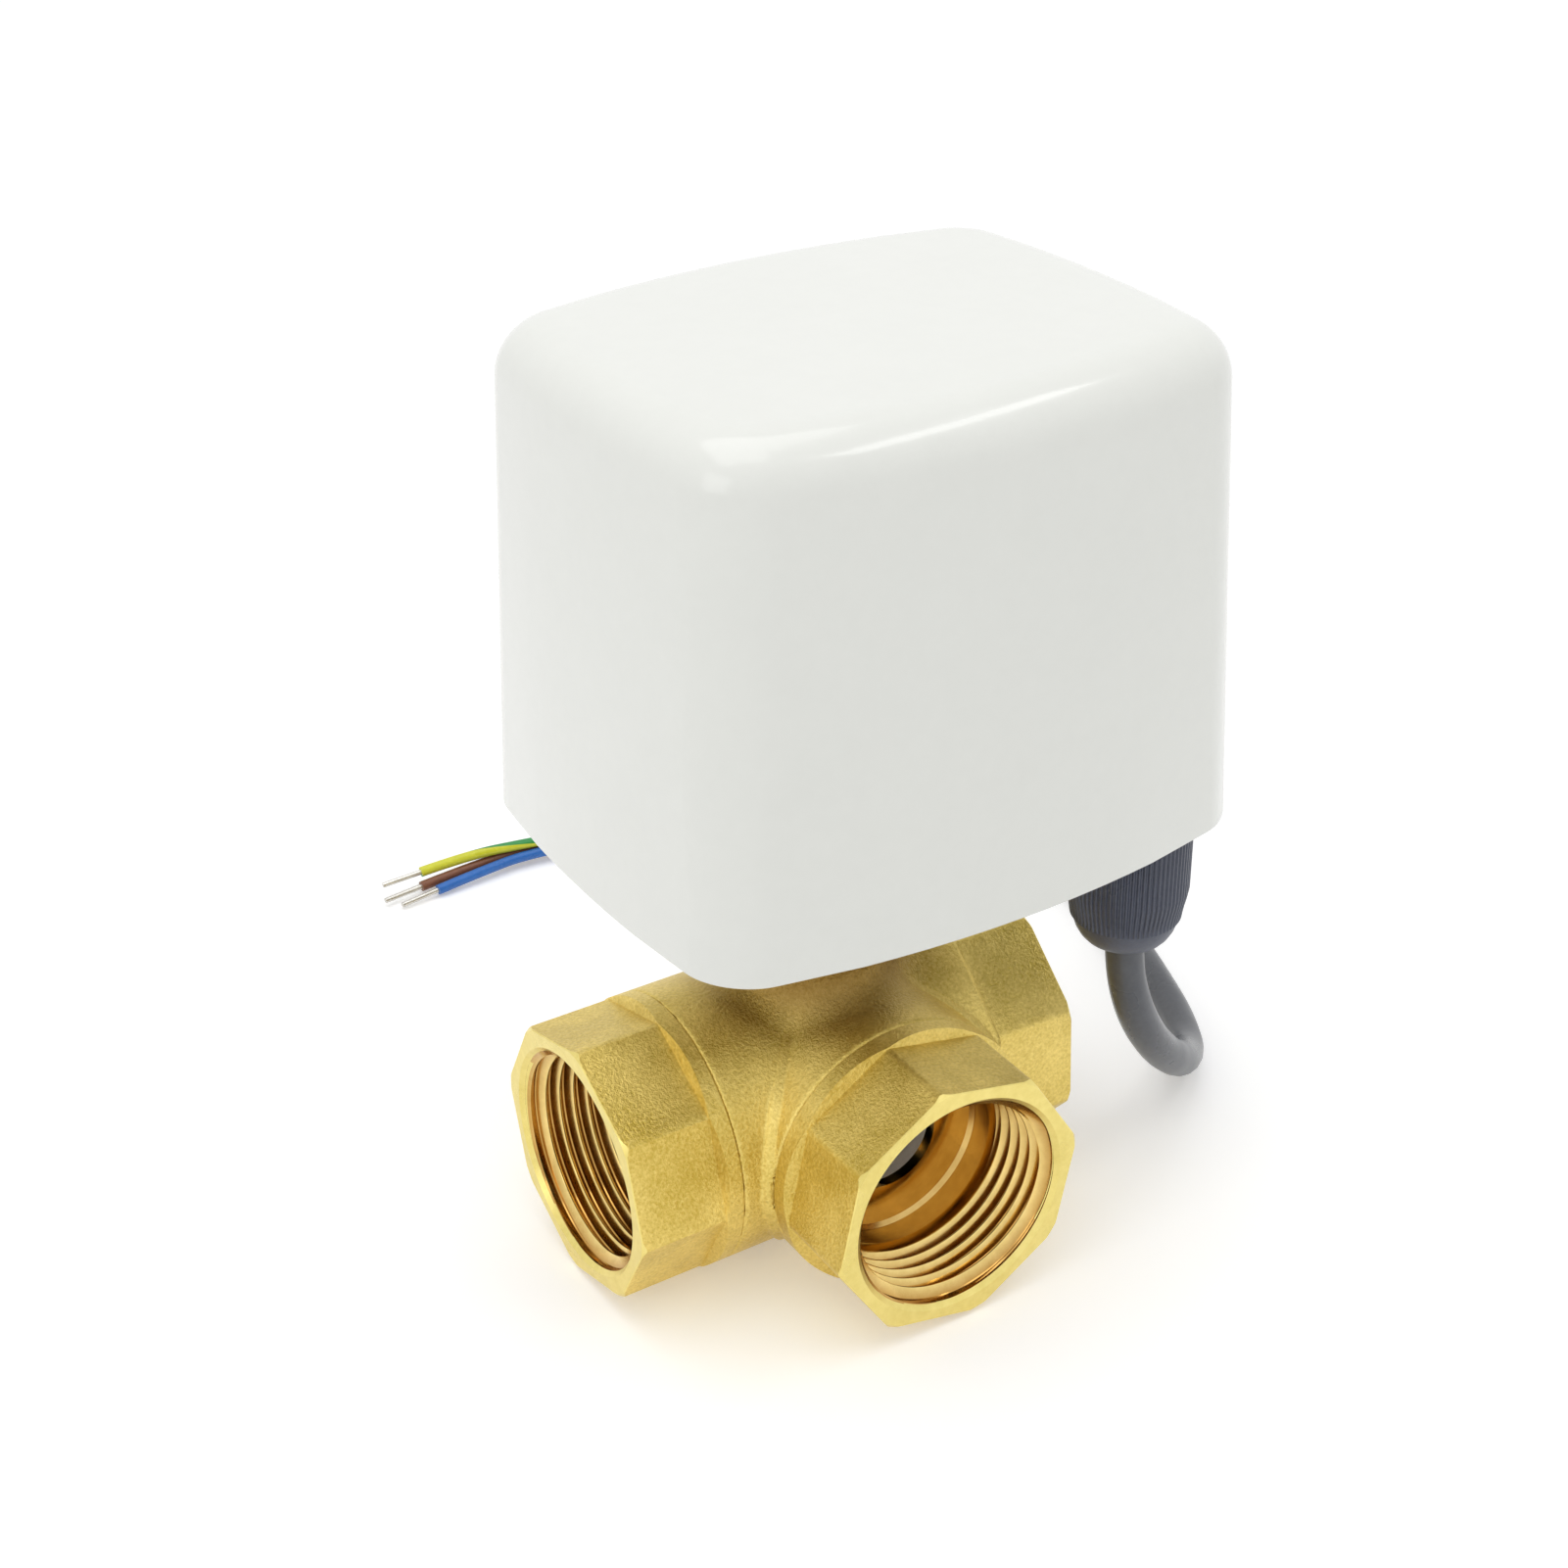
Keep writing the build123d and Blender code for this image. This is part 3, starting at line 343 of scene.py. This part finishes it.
def mark_grooves(mesh, face, axes):
    """Store how deep each point of a port lies in its thread's grooves, 0 on the crests and 1 at the roots."""
    turned_back = axes.inverted()
    depths = []
    for v in mesh.vertices:
        x, y, z = turned_back @ v.co / mm
        depth = (math.hypot(x, y) - thread_crest) / (thread_root - thread_crest)
        depths.append(0.6 if z < face - thread_length + 0.1 else min(max(depth, 0.0), 1.0))
    layer = mesh.attributes.new("groove", "FLOAT", "POINT")
    layer.data.foreach_set("value", depths)


right_face = 34.2
right_turn = -3.0
right_back = right_face - flats_length
right_flats_from = 18.0
neck_radius = 12.0
neck_blend = 4.5
valley_blend = 1.4
bead_radius = 1.05
bead_blend = 0.3
flange_low = 36.0
skin_reach = 1.9
bore_depth = 0.6
voxel = 0.5
nudge = 0.01


def skin_gap(x, y, z):
    """How far a point lies outside the forging's skin, in millimetres."""
    radius = math.hypot(y, z)
    tube = radius - tube_radius
    if x > right_flats_from:
        off = from_flat(math.degrees(math.atan2(z, y)), right_turn)
        ramp = max(0.0, right_back - x) / ramp_run
        steep = math.hypot(1.0, 1 / ramp_run) if ramp else 1.0
        tube = max(tube, (radius * math.cos(math.radians(off)) - flat_reach - ramp) / steep)
    branch = max(math.hypot(x, z) - tube_radius, y)
    share = max(0.0, 1 - (z / tube_radius) ** 2)
    blend = valley_blend * share + 0.001
    near = max(blend - abs(tube - branch), 0.0)
    skin = min(tube, branch) - near * near / (4 * blend)
    # a low bead follows the valley between the front branch and each side tube
    along = (abs(x) - y) / math.sqrt(2)
    across = (abs(x) + y) / math.sqrt(2)
    slope = math.hypot(along / math.sqrt(2), z)
    lift = (slope - tube_radius) * slope / max(math.hypot(along / 2, z), 0.1)
    bead = math.hypot(across, lift) - bead_radius * min(1.0, 1.5 * share)
    near = max(bead_blend - abs(skin - bead), 0.0)
    skin = min(skin, bead) - near * near / (4 * bead_blend)
    neck = max(math.hypot(x, y) - neck_radius, -z)
    if skin < neck_blend and neck < neck_blend:
        return max(neck_blend, min(skin, neck)) - math.hypot(neck_blend - skin, neck_blend - neck)
    return min(skin, neck)


# the forging starts as an evenly meshed copy of the CAD body
bm = bmesh.new()
bm.from_mesh(nodes["valve_body"].data)
bmesh.ops.remove_doubles(bm, verts=bm.verts, dist=0.002 * mm)
blank = build_piece("forging_blank", bm, ())
blank_mesh = blank.data
grid = blank.modifiers.new("even_mesh", "REMESH")
grid.mode = "VOXEL"
grid.voxel_size = voxel * mm
even_mesh = bpy.data.meshes.new_from_object(blank.evaluated_get(bpy.context.evaluated_depsgraph_get()))
forging = bmesh.new()
forging.from_mesh(even_mesh)
bpy.data.objects.remove(blank)
bpy.data.meshes.remove(blank_mesh)
bpy.data.meshes.remove(even_mesh)
for v in forging.verts:
    x, y, z = v.co / mm
    if z > flange_low or x < 0.5 - left_seam or y < 0.5 - front_seam or x > right_back + 1:
        continue
    gap = skin_gap(x, y, z)
    if abs(gap) > skin_reach:
        continue
    # each point is brought onto the skin along the skin's own slope
    for step in range(3):
        slope = Vector((skin_gap(x + nudge, y, z) - gap, skin_gap(x, y + nudge, z) - gap,
                        skin_gap(x, y, z + nudge) - gap)) / nudge
        move = slope * (gap / max(slope.length_squared, 0.2))
        x, y, z = x - move.x, y - move.y, z - move.z
        gap = skin_gap(x, y, z)
    v.co = Vector((x, y, z)) * mm
# it is cut off behind the right port's flats, and the cut's rim is brought to them
cut = bmesh.ops.bisect_plane(forging, geom=forging.verts[:] + forging.edges[:] + forging.faces[:],
                             plane_co=(right_back * mm, 0, 0), plane_no=(1, 0, 0), clear_outer=True)
bmesh.ops.bridge_loops(forging, edges=[e for e in cut["geom_cut"] if isinstance(e, bmesh.types.BMEdge)])
for v in forging.verts:
    x, y, z = v.co / mm
    if x > right_back - 0.01 and math.hypot(y, z) > mouth_radius + 0.5:
        off = from_flat(math.degrees(math.atan2(z, y)), right_turn)
        reach = flat_reach / math.cos(math.radians(off)) / math.hypot(y, z)
        v.co = Vector((right_back, y * reach, z * reach)) * mm
smooth_faces(forging, 60)
for f in forging.faces:
    x, y, z = f.calc_center_median() / mm
    inner = z < flange_low and skin_gap(x, y, z) < -bore_depth
    f.material_index = bore_finish if inner else skin_finish
# the machined end of the right port is turned about Z and then laid along +X
right_axes = Matrix(((0, 0, 1, 0), (1, 0, 0, 0), (0, 1, 0, 0), (0, 0, 0, 1)))
bm = bmesh.new()
turn_outline(bm, port_outline(right_face)[1:8] + [(relief_radius, right_back)], port_steps)
cut_flats(bm, right_face, right_turn)
bmesh.ops.recalc_face_normals(bm, faces=bm.faces)
cut_thread(bm, right_face)
finish_faces(bm, right_face)
bmesh.ops.transform(bm, matrix=right_axes, verts=bm.verts)
join_in(bm, forging)
forged_body = build_piece("forged_body", bm, brass_finishes)
mark_grooves(forged_body.data, right_face, right_axes)
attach(forged_body, "valve")
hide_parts("valve_body")


# The left and front ends, turned and milled from forged blanks and screwed
# into the body. A fine seam shows round the tube where each end meets it.
left_axes = Matrix(((0, 0, -1, 0), (-1, 0, 0, 0), (0, 1, 0, 0), (0, 0, 0, 1)))
front_axes = Matrix(((1, 0, 0, 0), (0, 0, -1, 0), (0, 1, 0, 0), (0, 0, 0, 1)))
nose_end = 17.9
nose_radius = 16.6
passage_radius = 7.5
seat_pocket_radius = 11.05
seat_pocket_depth = 1.3
for name, node, face, seam, turn, axes in (
        ("left_port_end", "left_end_connector", 40.9, left_seam, 15.5, left_axes),
        ("front_port_end", "front_end_connector", 38.35, front_seam, -12.65, front_axes)):
    pocket_floor = nose_end + seat_pocket_depth
    outline = [(nose_radius, seam), (tube_radius - small_edge, seam), (tube_radius, seam + small_edge)]
    outline += port_outline(face)
    outline += [(passage_radius, face - thread_length - relief_length), (passage_radius, pocket_floor),
                (seat_pocket_radius, pocket_floor), (seat_pocket_radius, nose_end), (nose_radius, nose_end)]
    bm = bmesh.new()
    turn_outline(bm, outline, port_steps)
    cut_flats(bm, face, turn)
    bmesh.ops.recalc_face_normals(bm, faces=bm.faces)
    cut_thread(bm, face)
    finish_faces(bm, face)
    bmesh.ops.transform(bm, matrix=axes, verts=bm.verts)
    port_end = build_piece(name, bm, brass_finishes)
    mark_grooves(port_end.data, face, axes)
    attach(port_end, "valve")
    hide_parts(node)


# The ball of plated brass on its turned stem, with the soft seats that it turns
# between, the flat seals behind the screwed ends and the stem's rubber rings.
# the ball is coloured a very dark olive: painted shade for the dark inside of the ports
shade_darkened_ball = finish_material("shade_darkened_ball", (0.07, 0.068, 0.045), (0.11, 0.107, 0.07), roughness=0.22,
                              metallic=1.0, scale=900, depth=0.02, spread=0.04)
turned_brass = finish_material("turned_brass", (0.60, 0.42, 0.12), (0.80, 0.60, 0.22), roughness=0.25,
                               metallic=1.0, scale=1400, depth=0.05)
soft_seat = finish_material("soft_seat", (0.78, 0.78, 0.75), (0.88, 0.88, 0.85), roughness=0.5,
                            scale=1200, depth=0.1)
black_rubber = finish_material("black_rubber", (0.012, 0.012, 0.012), (0.03, 0.03, 0.03), roughness=0.6,
                               scale=1500, depth=0.2)


def paint(node_names, material):
    """Give CAD pieces their finish."""
    for name in node_names:
        mesh = nodes[name].data
        mesh.materials.clear()
        mesh.materials.append(material)


paint(["valve_ball"], shade_darkened_ball)
paint(["valve_stem"], turned_brass)
paint(["left_ball_seat", "front_ball_seat", "right_ball_seat", "left_connector_seal", "front_connector_seal",
       "stem_thrust_washer"], soft_seat)
paint(["stem_o_rings"], black_rubber)


# The base plate, moulded in white plastic and screwed down on the body's
# flange, with the rubber gasket round its edge, and the cable gland's nylon
# body, which sits in it with a rubber sleeve. The screws are of plated steel.
white_moulding = finish_material("white_moulding", (0.82, 0.83, 0.79), (0.86, 0.87, 0.83), roughness=0.38,
                                 scale=900, depth=0.08)
grey_moulding = finish_material("grey_moulding", (0.045, 0.052, 0.075), (0.065, 0.073, 0.10), roughness=0.42,
                                scale=1500, depth=0.12)
plated_steel = finish_material("plated_steel", (0.45, 0.45, 0.46), (0.62, 0.62, 0.62), roughness=0.3,
                               metallic=1.0, scale=1200, depth=0.06)
paint(["base_plate"], white_moulding)
paint(["gland_body"], grey_moulding)
paint(["cover_gasket", "gland_sleeve"], black_rubber)
paint(["base_plate_screws", "cover_screws"], plated_steel)


# The drive: nylon gears and a nylon cam on steel shafts, between two stamped
# plates that stand on columns, and a motor can with a coil of enamelled wire.
nylon = finish_material("nylon", (0.70, 0.68, 0.58), (0.80, 0.78, 0.70), roughness=0.45, scale=900, depth=0.06)
enamelled_copper = finish_material("enamelled_copper", (0.42, 0.16, 0.05), (0.62, 0.28, 0.11), roughness=0.3,
                                   metallic=0.9, scale=1800, depth=0.3)
paint(["output_shaft", "idler_axle", "motor_pinion", "lower_gear_plate", "upper_gear_plate", "lower_columns",
       "upper_columns", "column_screws", "motor", "motor_screws"], plated_steel)
paint(["output_gear", "idler_gear", "limit_cam"], nylon)
paint(["motor_coil"], enamelled_copper)


# The electric parts: two moulded limit switches with steel levers beside the
# cam, and a circuit board that carries a sealed relay and a terminal block.
black_moulding = finish_material("black_moulding", (0.015, 0.015, 0.017), (0.03, 0.03, 0.033), roughness=0.4,
                                 scale=1200, depth=0.1)
board_green = finish_material("board_green", (0.02, 0.11, 0.05), (0.04, 0.17, 0.08), roughness=0.35,
                              scale=800, depth=0.05)
terminal_green = finish_material("terminal_green", (0.07, 0.28, 0.15), (0.10, 0.36, 0.20), roughness=0.4,
                                 scale=900, depth=0.08)
paint(["closed_limit_switch", "open_limit_switch", "control_relay"], black_moulding)
paint(["control_board"], board_green)
paint(["terminal_block"], terminal_green)
paint(["closed_switch_lever", "open_switch_lever", "limit_switch_screws", "terminal_screws"], plated_steel)


# The moulded cover of glossy white plastic: bowed sides, draft towards the
# top and round edges. It drops over the base plate and four screws hold it.
cover_rim = 44.5
cover_height = 72.2
cover_centre = 8.4
cover_half_x = 45.5
cover_half_y = 38.6
cover_bow_x = 2.3
cover_bow_y = 5.5
cover_corner = 7.8
cover_draft = 2.1
cover_edge = 7.4
cover_wall = 2.5
rim_round = 0.4
cuts_each_way = 5
cut_step_x = 5.0
cut_step_y = 3.3


def round_edges(bm, edges, radius, segments):
    """Round a bmesh's edges evenly."""
    bmesh.ops.bevel(bm, geom=edges, offset=radius, offset_type="OFFSET", affect="EDGES", segments=segments,
                    profile=0.5, material=-1, clamp_overlap=False)


lean = cover_height * math.tan(math.radians(cover_draft))
bm = bmesh.new()
bmesh.ops.create_cube(bm, size=1.0)
bmesh.ops.translate(bm, verts=bm.verts, vec=(0, 0, 0.5))
bmesh.ops.scale(bm, verts=bm.verts, vec=(2 * cover_half_x, 2 * cover_half_y, cover_height))
for v in bm.verts:
    if v.co.z > 1:
        v.co.x -= math.copysign(lean, v.co.x)
        v.co.y -= math.copysign(lean, v.co.y)
# the corners stay clear of cuts, so that their round edges have room
for k in range(-cuts_each_way, cuts_each_way + 1):
    for cut, way in ((Vector((k * cut_step_x, 0, 0)), Vector((1, 0, 0))),
                     (Vector((0, k * cut_step_y, 0)), Vector((0, 1, 0)))):
        bmesh.ops.bisect_plane(bm, geom=bm.verts[:] + bm.edges[:] + bm.faces[:], plane_co=cut, plane_no=way)
# the four sides bow outwards, most at their middles
for v in bm.verts:
    inset = lean * v.co.z / cover_height
    share_x = v.co.x / (cover_half_x - inset)
    share_y = v.co.y / (cover_half_y - inset)
    v.co.x -= cover_bow_x * share_x * share_y ** 2
    v.co.y -= cover_bow_y * share_y * share_x ** 2
corner_edges = [e for e in bm.edges if abs(e.verts[0].co.z - e.verts[1].co.z) > 1 and e.calc_face_angle() > 1.0]
round_edges(bm, corner_edges, cover_corner, segments=14)
top_edges = [e for e in bm.edges if all(v.co.z > cover_height - 0.01 for v in e.verts)
             and any(abs(f.normal.z) < 0.5 for f in e.link_faces)]
round_edges(bm, top_edges, cover_edge, segments=10)
bmesh.ops.delete(bm, geom=[f for f in bm.faces if f.normal.z < -0.9], context="FACES")
bmesh.ops.translate(bm, verts=bm.verts, vec=(cover_centre, 0, cover_rim))
bmesh.ops.solidify(bm, geom=bm.faces[:], thickness=cover_wall)
# the mould leaves a fine round on the rim's two edges, and the rim itself is flat
for v in bm.verts:
    if v.co.z < cover_rim + 1:
        v.co.z = cover_rim
rim_edges = [e for e in bm.edges if all(v.co.z < cover_rim + 0.01 for v in e.verts)
             and e.calc_face_angle(0) > math.radians(50)]
round_edges(bm, rim_edges, rim_round, segments=3)
bmesh.ops.recalc_face_normals(bm, faces=bm.faces)
bmesh.ops.scale(bm, verts=bm.verts, vec=(mm, mm, mm))
smooth_faces(bm, 20)
glossy_white = finish_material("glossy_white", (0.84, 0.85, 0.805), (0.855, 0.865, 0.82), roughness=0.2,
                               scale=400, depth=0.01, spread=0.02, coat=0.3)
white_cover = build_piece("white_cover", bm, [glossy_white])
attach(white_cover, "valve")
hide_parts("actuator_cover")


# The gland's dome nut, moulded in dark nylon: a skirt with fine upright ribs
# that hides the hexagon, and a smooth dome that closes on the cable.
gland_x = 38.5
gland_y = -24.3
nut_ribs = 72
steps_per_rib = 4
rib_low = 28.4
rib_depth = 0.26
nut_outline = [
    (3.2, 23.8), (4.4, 23.7), (5.2, 23.95), (6.0, 24.5), (6.7, 25.3), (7.3, 26.4), (7.75, 27.8), (7.85, 28.3),
    (8.15, rib_low), (8.25, 29.2), (8.45, 30.4), (8.75, 31.8), (9.0, 33.3), (9.0, 43.3), (8.85, 43.5), (8.7, 43.5),
    (8.7, 39.0), (5.95, 39.0), (5.95, 27.0), (3.2, 26.6),
]
bm = bmesh.new()
turn_outline(bm, nut_outline, nut_ribs * steps_per_rib)
# two of the four steps of each rib lie lower, and make the groove beside it
for v in bm.verts:
    x, y, z = v.co / mm
    radius = math.hypot(x, y)
    step = round(math.degrees(math.atan2(y, x)) / 360 * nut_ribs * steps_per_rib) % steps_per_rib
    if step > 1 and z > rib_low + 0.1 and radius > 8.2:
        v.co = Vector((x * (radius - rib_depth) / radius, y * (radius - rib_depth) / radius, z)) * mm
bmesh.ops.recalc_face_normals(bm, faces=bm.faces)
bmesh.ops.translate(bm, verts=bm.verts, vec=(gland_x * mm, gland_y * mm, 0))
smooth_faces(bm, 32)
nut_grey = finish_material("nut_grey", (0.058, 0.066, 0.098), (0.080, 0.090, 0.125), roughness=0.34,
                           scale=1500, depth=0.08)
ribbed_nut = build_piece("ribbed_nut", bm, [nut_grey])
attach(ribbed_nut, "valve")
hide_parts("gland_dome_nut")


# The power cable, a soft round sheath that leaves the gland straight down,
# swings out to the right, comes to rest on the floor and runs round behind.
cable_radius = 2.9
cable_floor = -17.8
cable_points = [
    (38.5, -24.3, 29.6), (38.5, -24.3, 20.6), (40.4, -24.6, 11.6), (45.0, -23.5, 3.2), (52.0, -20.3, -5.0),
    (60.0, -15.0, -12.2), (67.3, -8.2, -16.8), (72.5, 0.7, cable_floor), (76.3, 10.7, cable_floor),
    (80.0, 21.6, cable_floor), (84.0, 33.0, cable_floor), (86.6, 46.0, cable_floor), (84.6, 60.0, cable_floor),
    (77.6, 73.4, cable_floor), (67.0, 85.0, cable_floor), (54.0, 94.4, cable_floor), (40.0, 101.4, cable_floor),
    (27.0, 106.0, cable_floor), (15.0, 108.6, cable_floor),
]


def soft_line(name, points, radius, material):
    """A round cord along a smooth spline whose control points are given in millimetres."""
    curve = bpy.data.curves.new(name, "CURVE")
    curve.dimensions = "3D"
    curve.resolution_u = 12
    curve.bevel_depth = radius * mm
    curve.bevel_resolution = 6
    curve.use_fill_caps = True
    spline = curve.splines.new("NURBS")
    spline.points.add(len(points) - 1)
    for point, (x, y, z) in zip(spline.points, points):
        point.co = (x * mm, y * mm, z * mm, 1.0)
    spline.order_u = 3
    spline.use_endpoint_u = True
    curve.materials.append(material)
    line = bpy.data.objects.new(name, curve)
    bpy.context.scene.collection.objects.link(line)
    return line


cable_grey = finish_material("cable_grey", (0.075, 0.080, 0.092), (0.100, 0.106, 0.12), roughness=0.33,
                             scale=900, depth=0.05)
grey_cable = soft_line("grey_cable", cable_points, cable_radius, cable_grey)
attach(grey_cable, "valve")
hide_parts("power_cable")
paint(["cable_inner_end"], cable_grey)


# The three cores, each of thin coloured insulation over stranded copper that
# is stripped and tinned at its end. They fan out where the sheath stops.
core_radius = 0.95
core_straight = 9.0
core_end = Vector(cable_points[-1])
core_way = (core_end - Vector(cable_points[-2])).normalized()
core_side = Vector((core_way.y, -core_way.x, 0))
earth_insulation = finish_material("earth_insulation", (0.65, 0.66, 0.03), (0.75, 0.75, 0.05), roughness=0.35,
                                   scale=900, depth=0.03)
brown_insulation = finish_material("brown_insulation", (0.20, 0.07, 0.03), (0.26, 0.10, 0.05), roughness=0.35,
                                   scale=900, depth=0.03)
blue_insulation = finish_material("blue_insulation", (0.02, 0.14, 0.5), (0.03, 0.18, 0.6), roughness=0.35,
                                  scale=900, depth=0.03)
# each core's place in the sheath across and upwards, its last two points, finish, slot and length
cores = {
    "earth_conductor": (0.0, 1.15, [(-4.5, 112.4, 1.2), (-14.2, 113.0, 0.4)], earth_insulation,
                        "earth_yellow", 0.0300),
    "brown_conductor": (1.0, -0.58, [(-5.0, 111.6, -0.9), (-15.2, 110.9, -1.3)], brown_insulation,
                        "core_brown", 0.0306),
    "blue_conductor": (-1.0, -0.58, [(-4.0, 109.0, -0.9), (-13.0, 108.4, -1.5)], blue_insulation,
                       "core_blue", 0.0300),
}
for name, (side, lift, route, insulation, slot, length) in cores.items():
    start = core_end + core_side * side + Vector((0, 0, lift))
    points = [tuple(start), tuple(start + core_way * core_straight)]
    points += [(x, y, cable_floor + z) for x, y, z in route]
    core = soft_line(name.replace("conductor", "core"), points, core_radius, insulation)
    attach(core, "valve")
    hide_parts(name)
# the earth core has a green stripe along it, which turns slowly round the core's bent middle line
middle_start = (0.015, 0.1086, -0.01665)
middle_slope = 0.2423
middle_bend = 3.14
middle_drop = 0.88
stripe_wind = 135.0
stripe_start = 5.3
tree = earth_insulation.node_tree
x, y, z = object_place(tree)
run = arithmetic(tree, "SUBTRACT", middle_start[0], x)
bend = arithmetic(tree, "SUBTRACT", middle_slope, arithmetic(tree, "MULTIPLY", run, middle_bend))
middle_y = arithmetic(tree, "ADD", middle_start[1], arithmetic(tree, "MULTIPLY", run, bend))
drop = arithmetic(tree, "MULTIPLY", arithmetic(tree, "MULTIPLY", run, run), middle_drop)
middle_z = arithmetic(tree, "SUBTRACT", middle_start[2], drop)
round_it = arithmetic(tree, "ARCTAN2", arithmetic(tree, "SUBTRACT", z, middle_z),
                      arithmetic(tree, "SUBTRACT", y, middle_y))
wound = arithmetic(tree, "ADD", round_it, arithmetic(tree, "MULTIPLY", run, stripe_wind))
wave = arithmetic(tree, "SINE", arithmetic(tree, "ADD", wound, stripe_start))
stripe = map_range(tree, wave, low=0.15, high=0.35, smooth=True)
tint(earth_insulation, stripe, (0.03, 0.30, 0.07), blend_type="MIX")
tinned_strands = finish_material("tinned_strands", (0.5, 0.48, 0.44), (0.75, 0.73, 0.68), roughness=0.3,
                                 metallic=1.0, scale=1500, depth=0.1)
paint(["conductor_tips"], tinned_strands)


# The floor, a wide matt white board. The camera and the reflections see it
# lifted towards white, more so far away, and it keeps the valve's shadow.
floor_z = -20.7
floor_half = 3.0
near_lift = 0.26
far_lift = 0.42


def seen_directly(tree):
    """1 for a ray from the camera or off a glossy surface, otherwise 0."""
    ray = tree.nodes.new("ShaderNodeLightPath")
    return arithmetic(tree, "MAXIMUM", ray.outputs["Is Camera Ray"], ray.outputs["Is Glossy Ray"])


floor_white = bpy.data.materials.new("floor_white")
floor_white.use_nodes = True
tree = floor_white.node_tree
shader = tree.nodes["Principled BSDF"]
shader.inputs["Base Color"].default_value = (0.97, 0.97, 0.97, 1)
shader.inputs["Roughness"].default_value = 0.9
shader.inputs["Specular IOR Level"].default_value = 0.1
shader.inputs["Emission Color"].default_value = (1, 1, 1, 1)
spot = tree.nodes.new("ShaderNodeTexCoord")
reach = tree.nodes.new("ShaderNodeVectorMath")
reach.operation = "LENGTH"
tree.links.new(spot.outputs["Object"], reach.inputs[0])
lift = map_range(tree, reach.outputs["Value"], low=0.3, high=1.5, to_low=near_lift, to_high=far_lift)
tree.links.new(arithmetic(tree, "MULTIPLY", seen_directly(tree), lift), shader.inputs["Emission Strength"])
bm = bmesh.new()
bmesh.ops.create_grid(bm, x_segments=1, y_segments=1, size=floor_half)
bmesh.ops.translate(bm, verts=bm.verts, vec=(0, 0, floor_z * mm))
floor = build_piece("floor", bm, [floor_white])


# The light: a pale room all round, one wide soft lamp overhead, a weaker one
# to the left, and a narrow one in front on the right for the cover's top edge.
room_level = 0.61
room_seen = 1.0
world = bpy.data.worlds.new("pale_room")
bpy.context.scene.world = world
world.use_nodes = True
tree = world.node_tree
room = tree.nodes["Background"]
room.inputs["Color"].default_value = (1, 1, 1, 1)
strength = map_range(tree, seen_directly(tree), low=0.0, high=1.0, to_low=room_level, to_high=room_seen)
tree.links.new(strength, room.inputs["Strength"])


def soft_lamp(name, where, aim, power, width, height):
    """A rectangular lamp at one place, aimed at another."""
    data = bpy.data.lights.new(name, "AREA")
    data.shape = "RECTANGLE"
    data.size = width
    data.size_y = height
    data.energy = power
    lamp = bpy.data.objects.new(name, data)
    bpy.context.scene.collection.objects.link(lamp)
    lamp.location = where
    lamp.rotation_euler = (Vector(aim) - Vector(where)).to_track_quat("-Z", "Y").to_euler()


soft_lamp("top_lamp", where=(-0.1, 0.05, 0.95), aim=(0.0, 0.0, 0.05), power=2.8, width=0.85, height=0.8)
soft_lamp("edge_lamp", where=(0.4, -0.32, 0.8), aim=(0.0, 0.0, 0.1), power=0.7, width=0.6, height=0.1)
soft_lamp("left_lamp", where=(-0.9, -0.3, 0.5), aim=(0.0, 0.0, 0.05), power=0.95, width=0.5, height=0.5)

bpy.context.scene.view_settings.view_transform = "Standard"
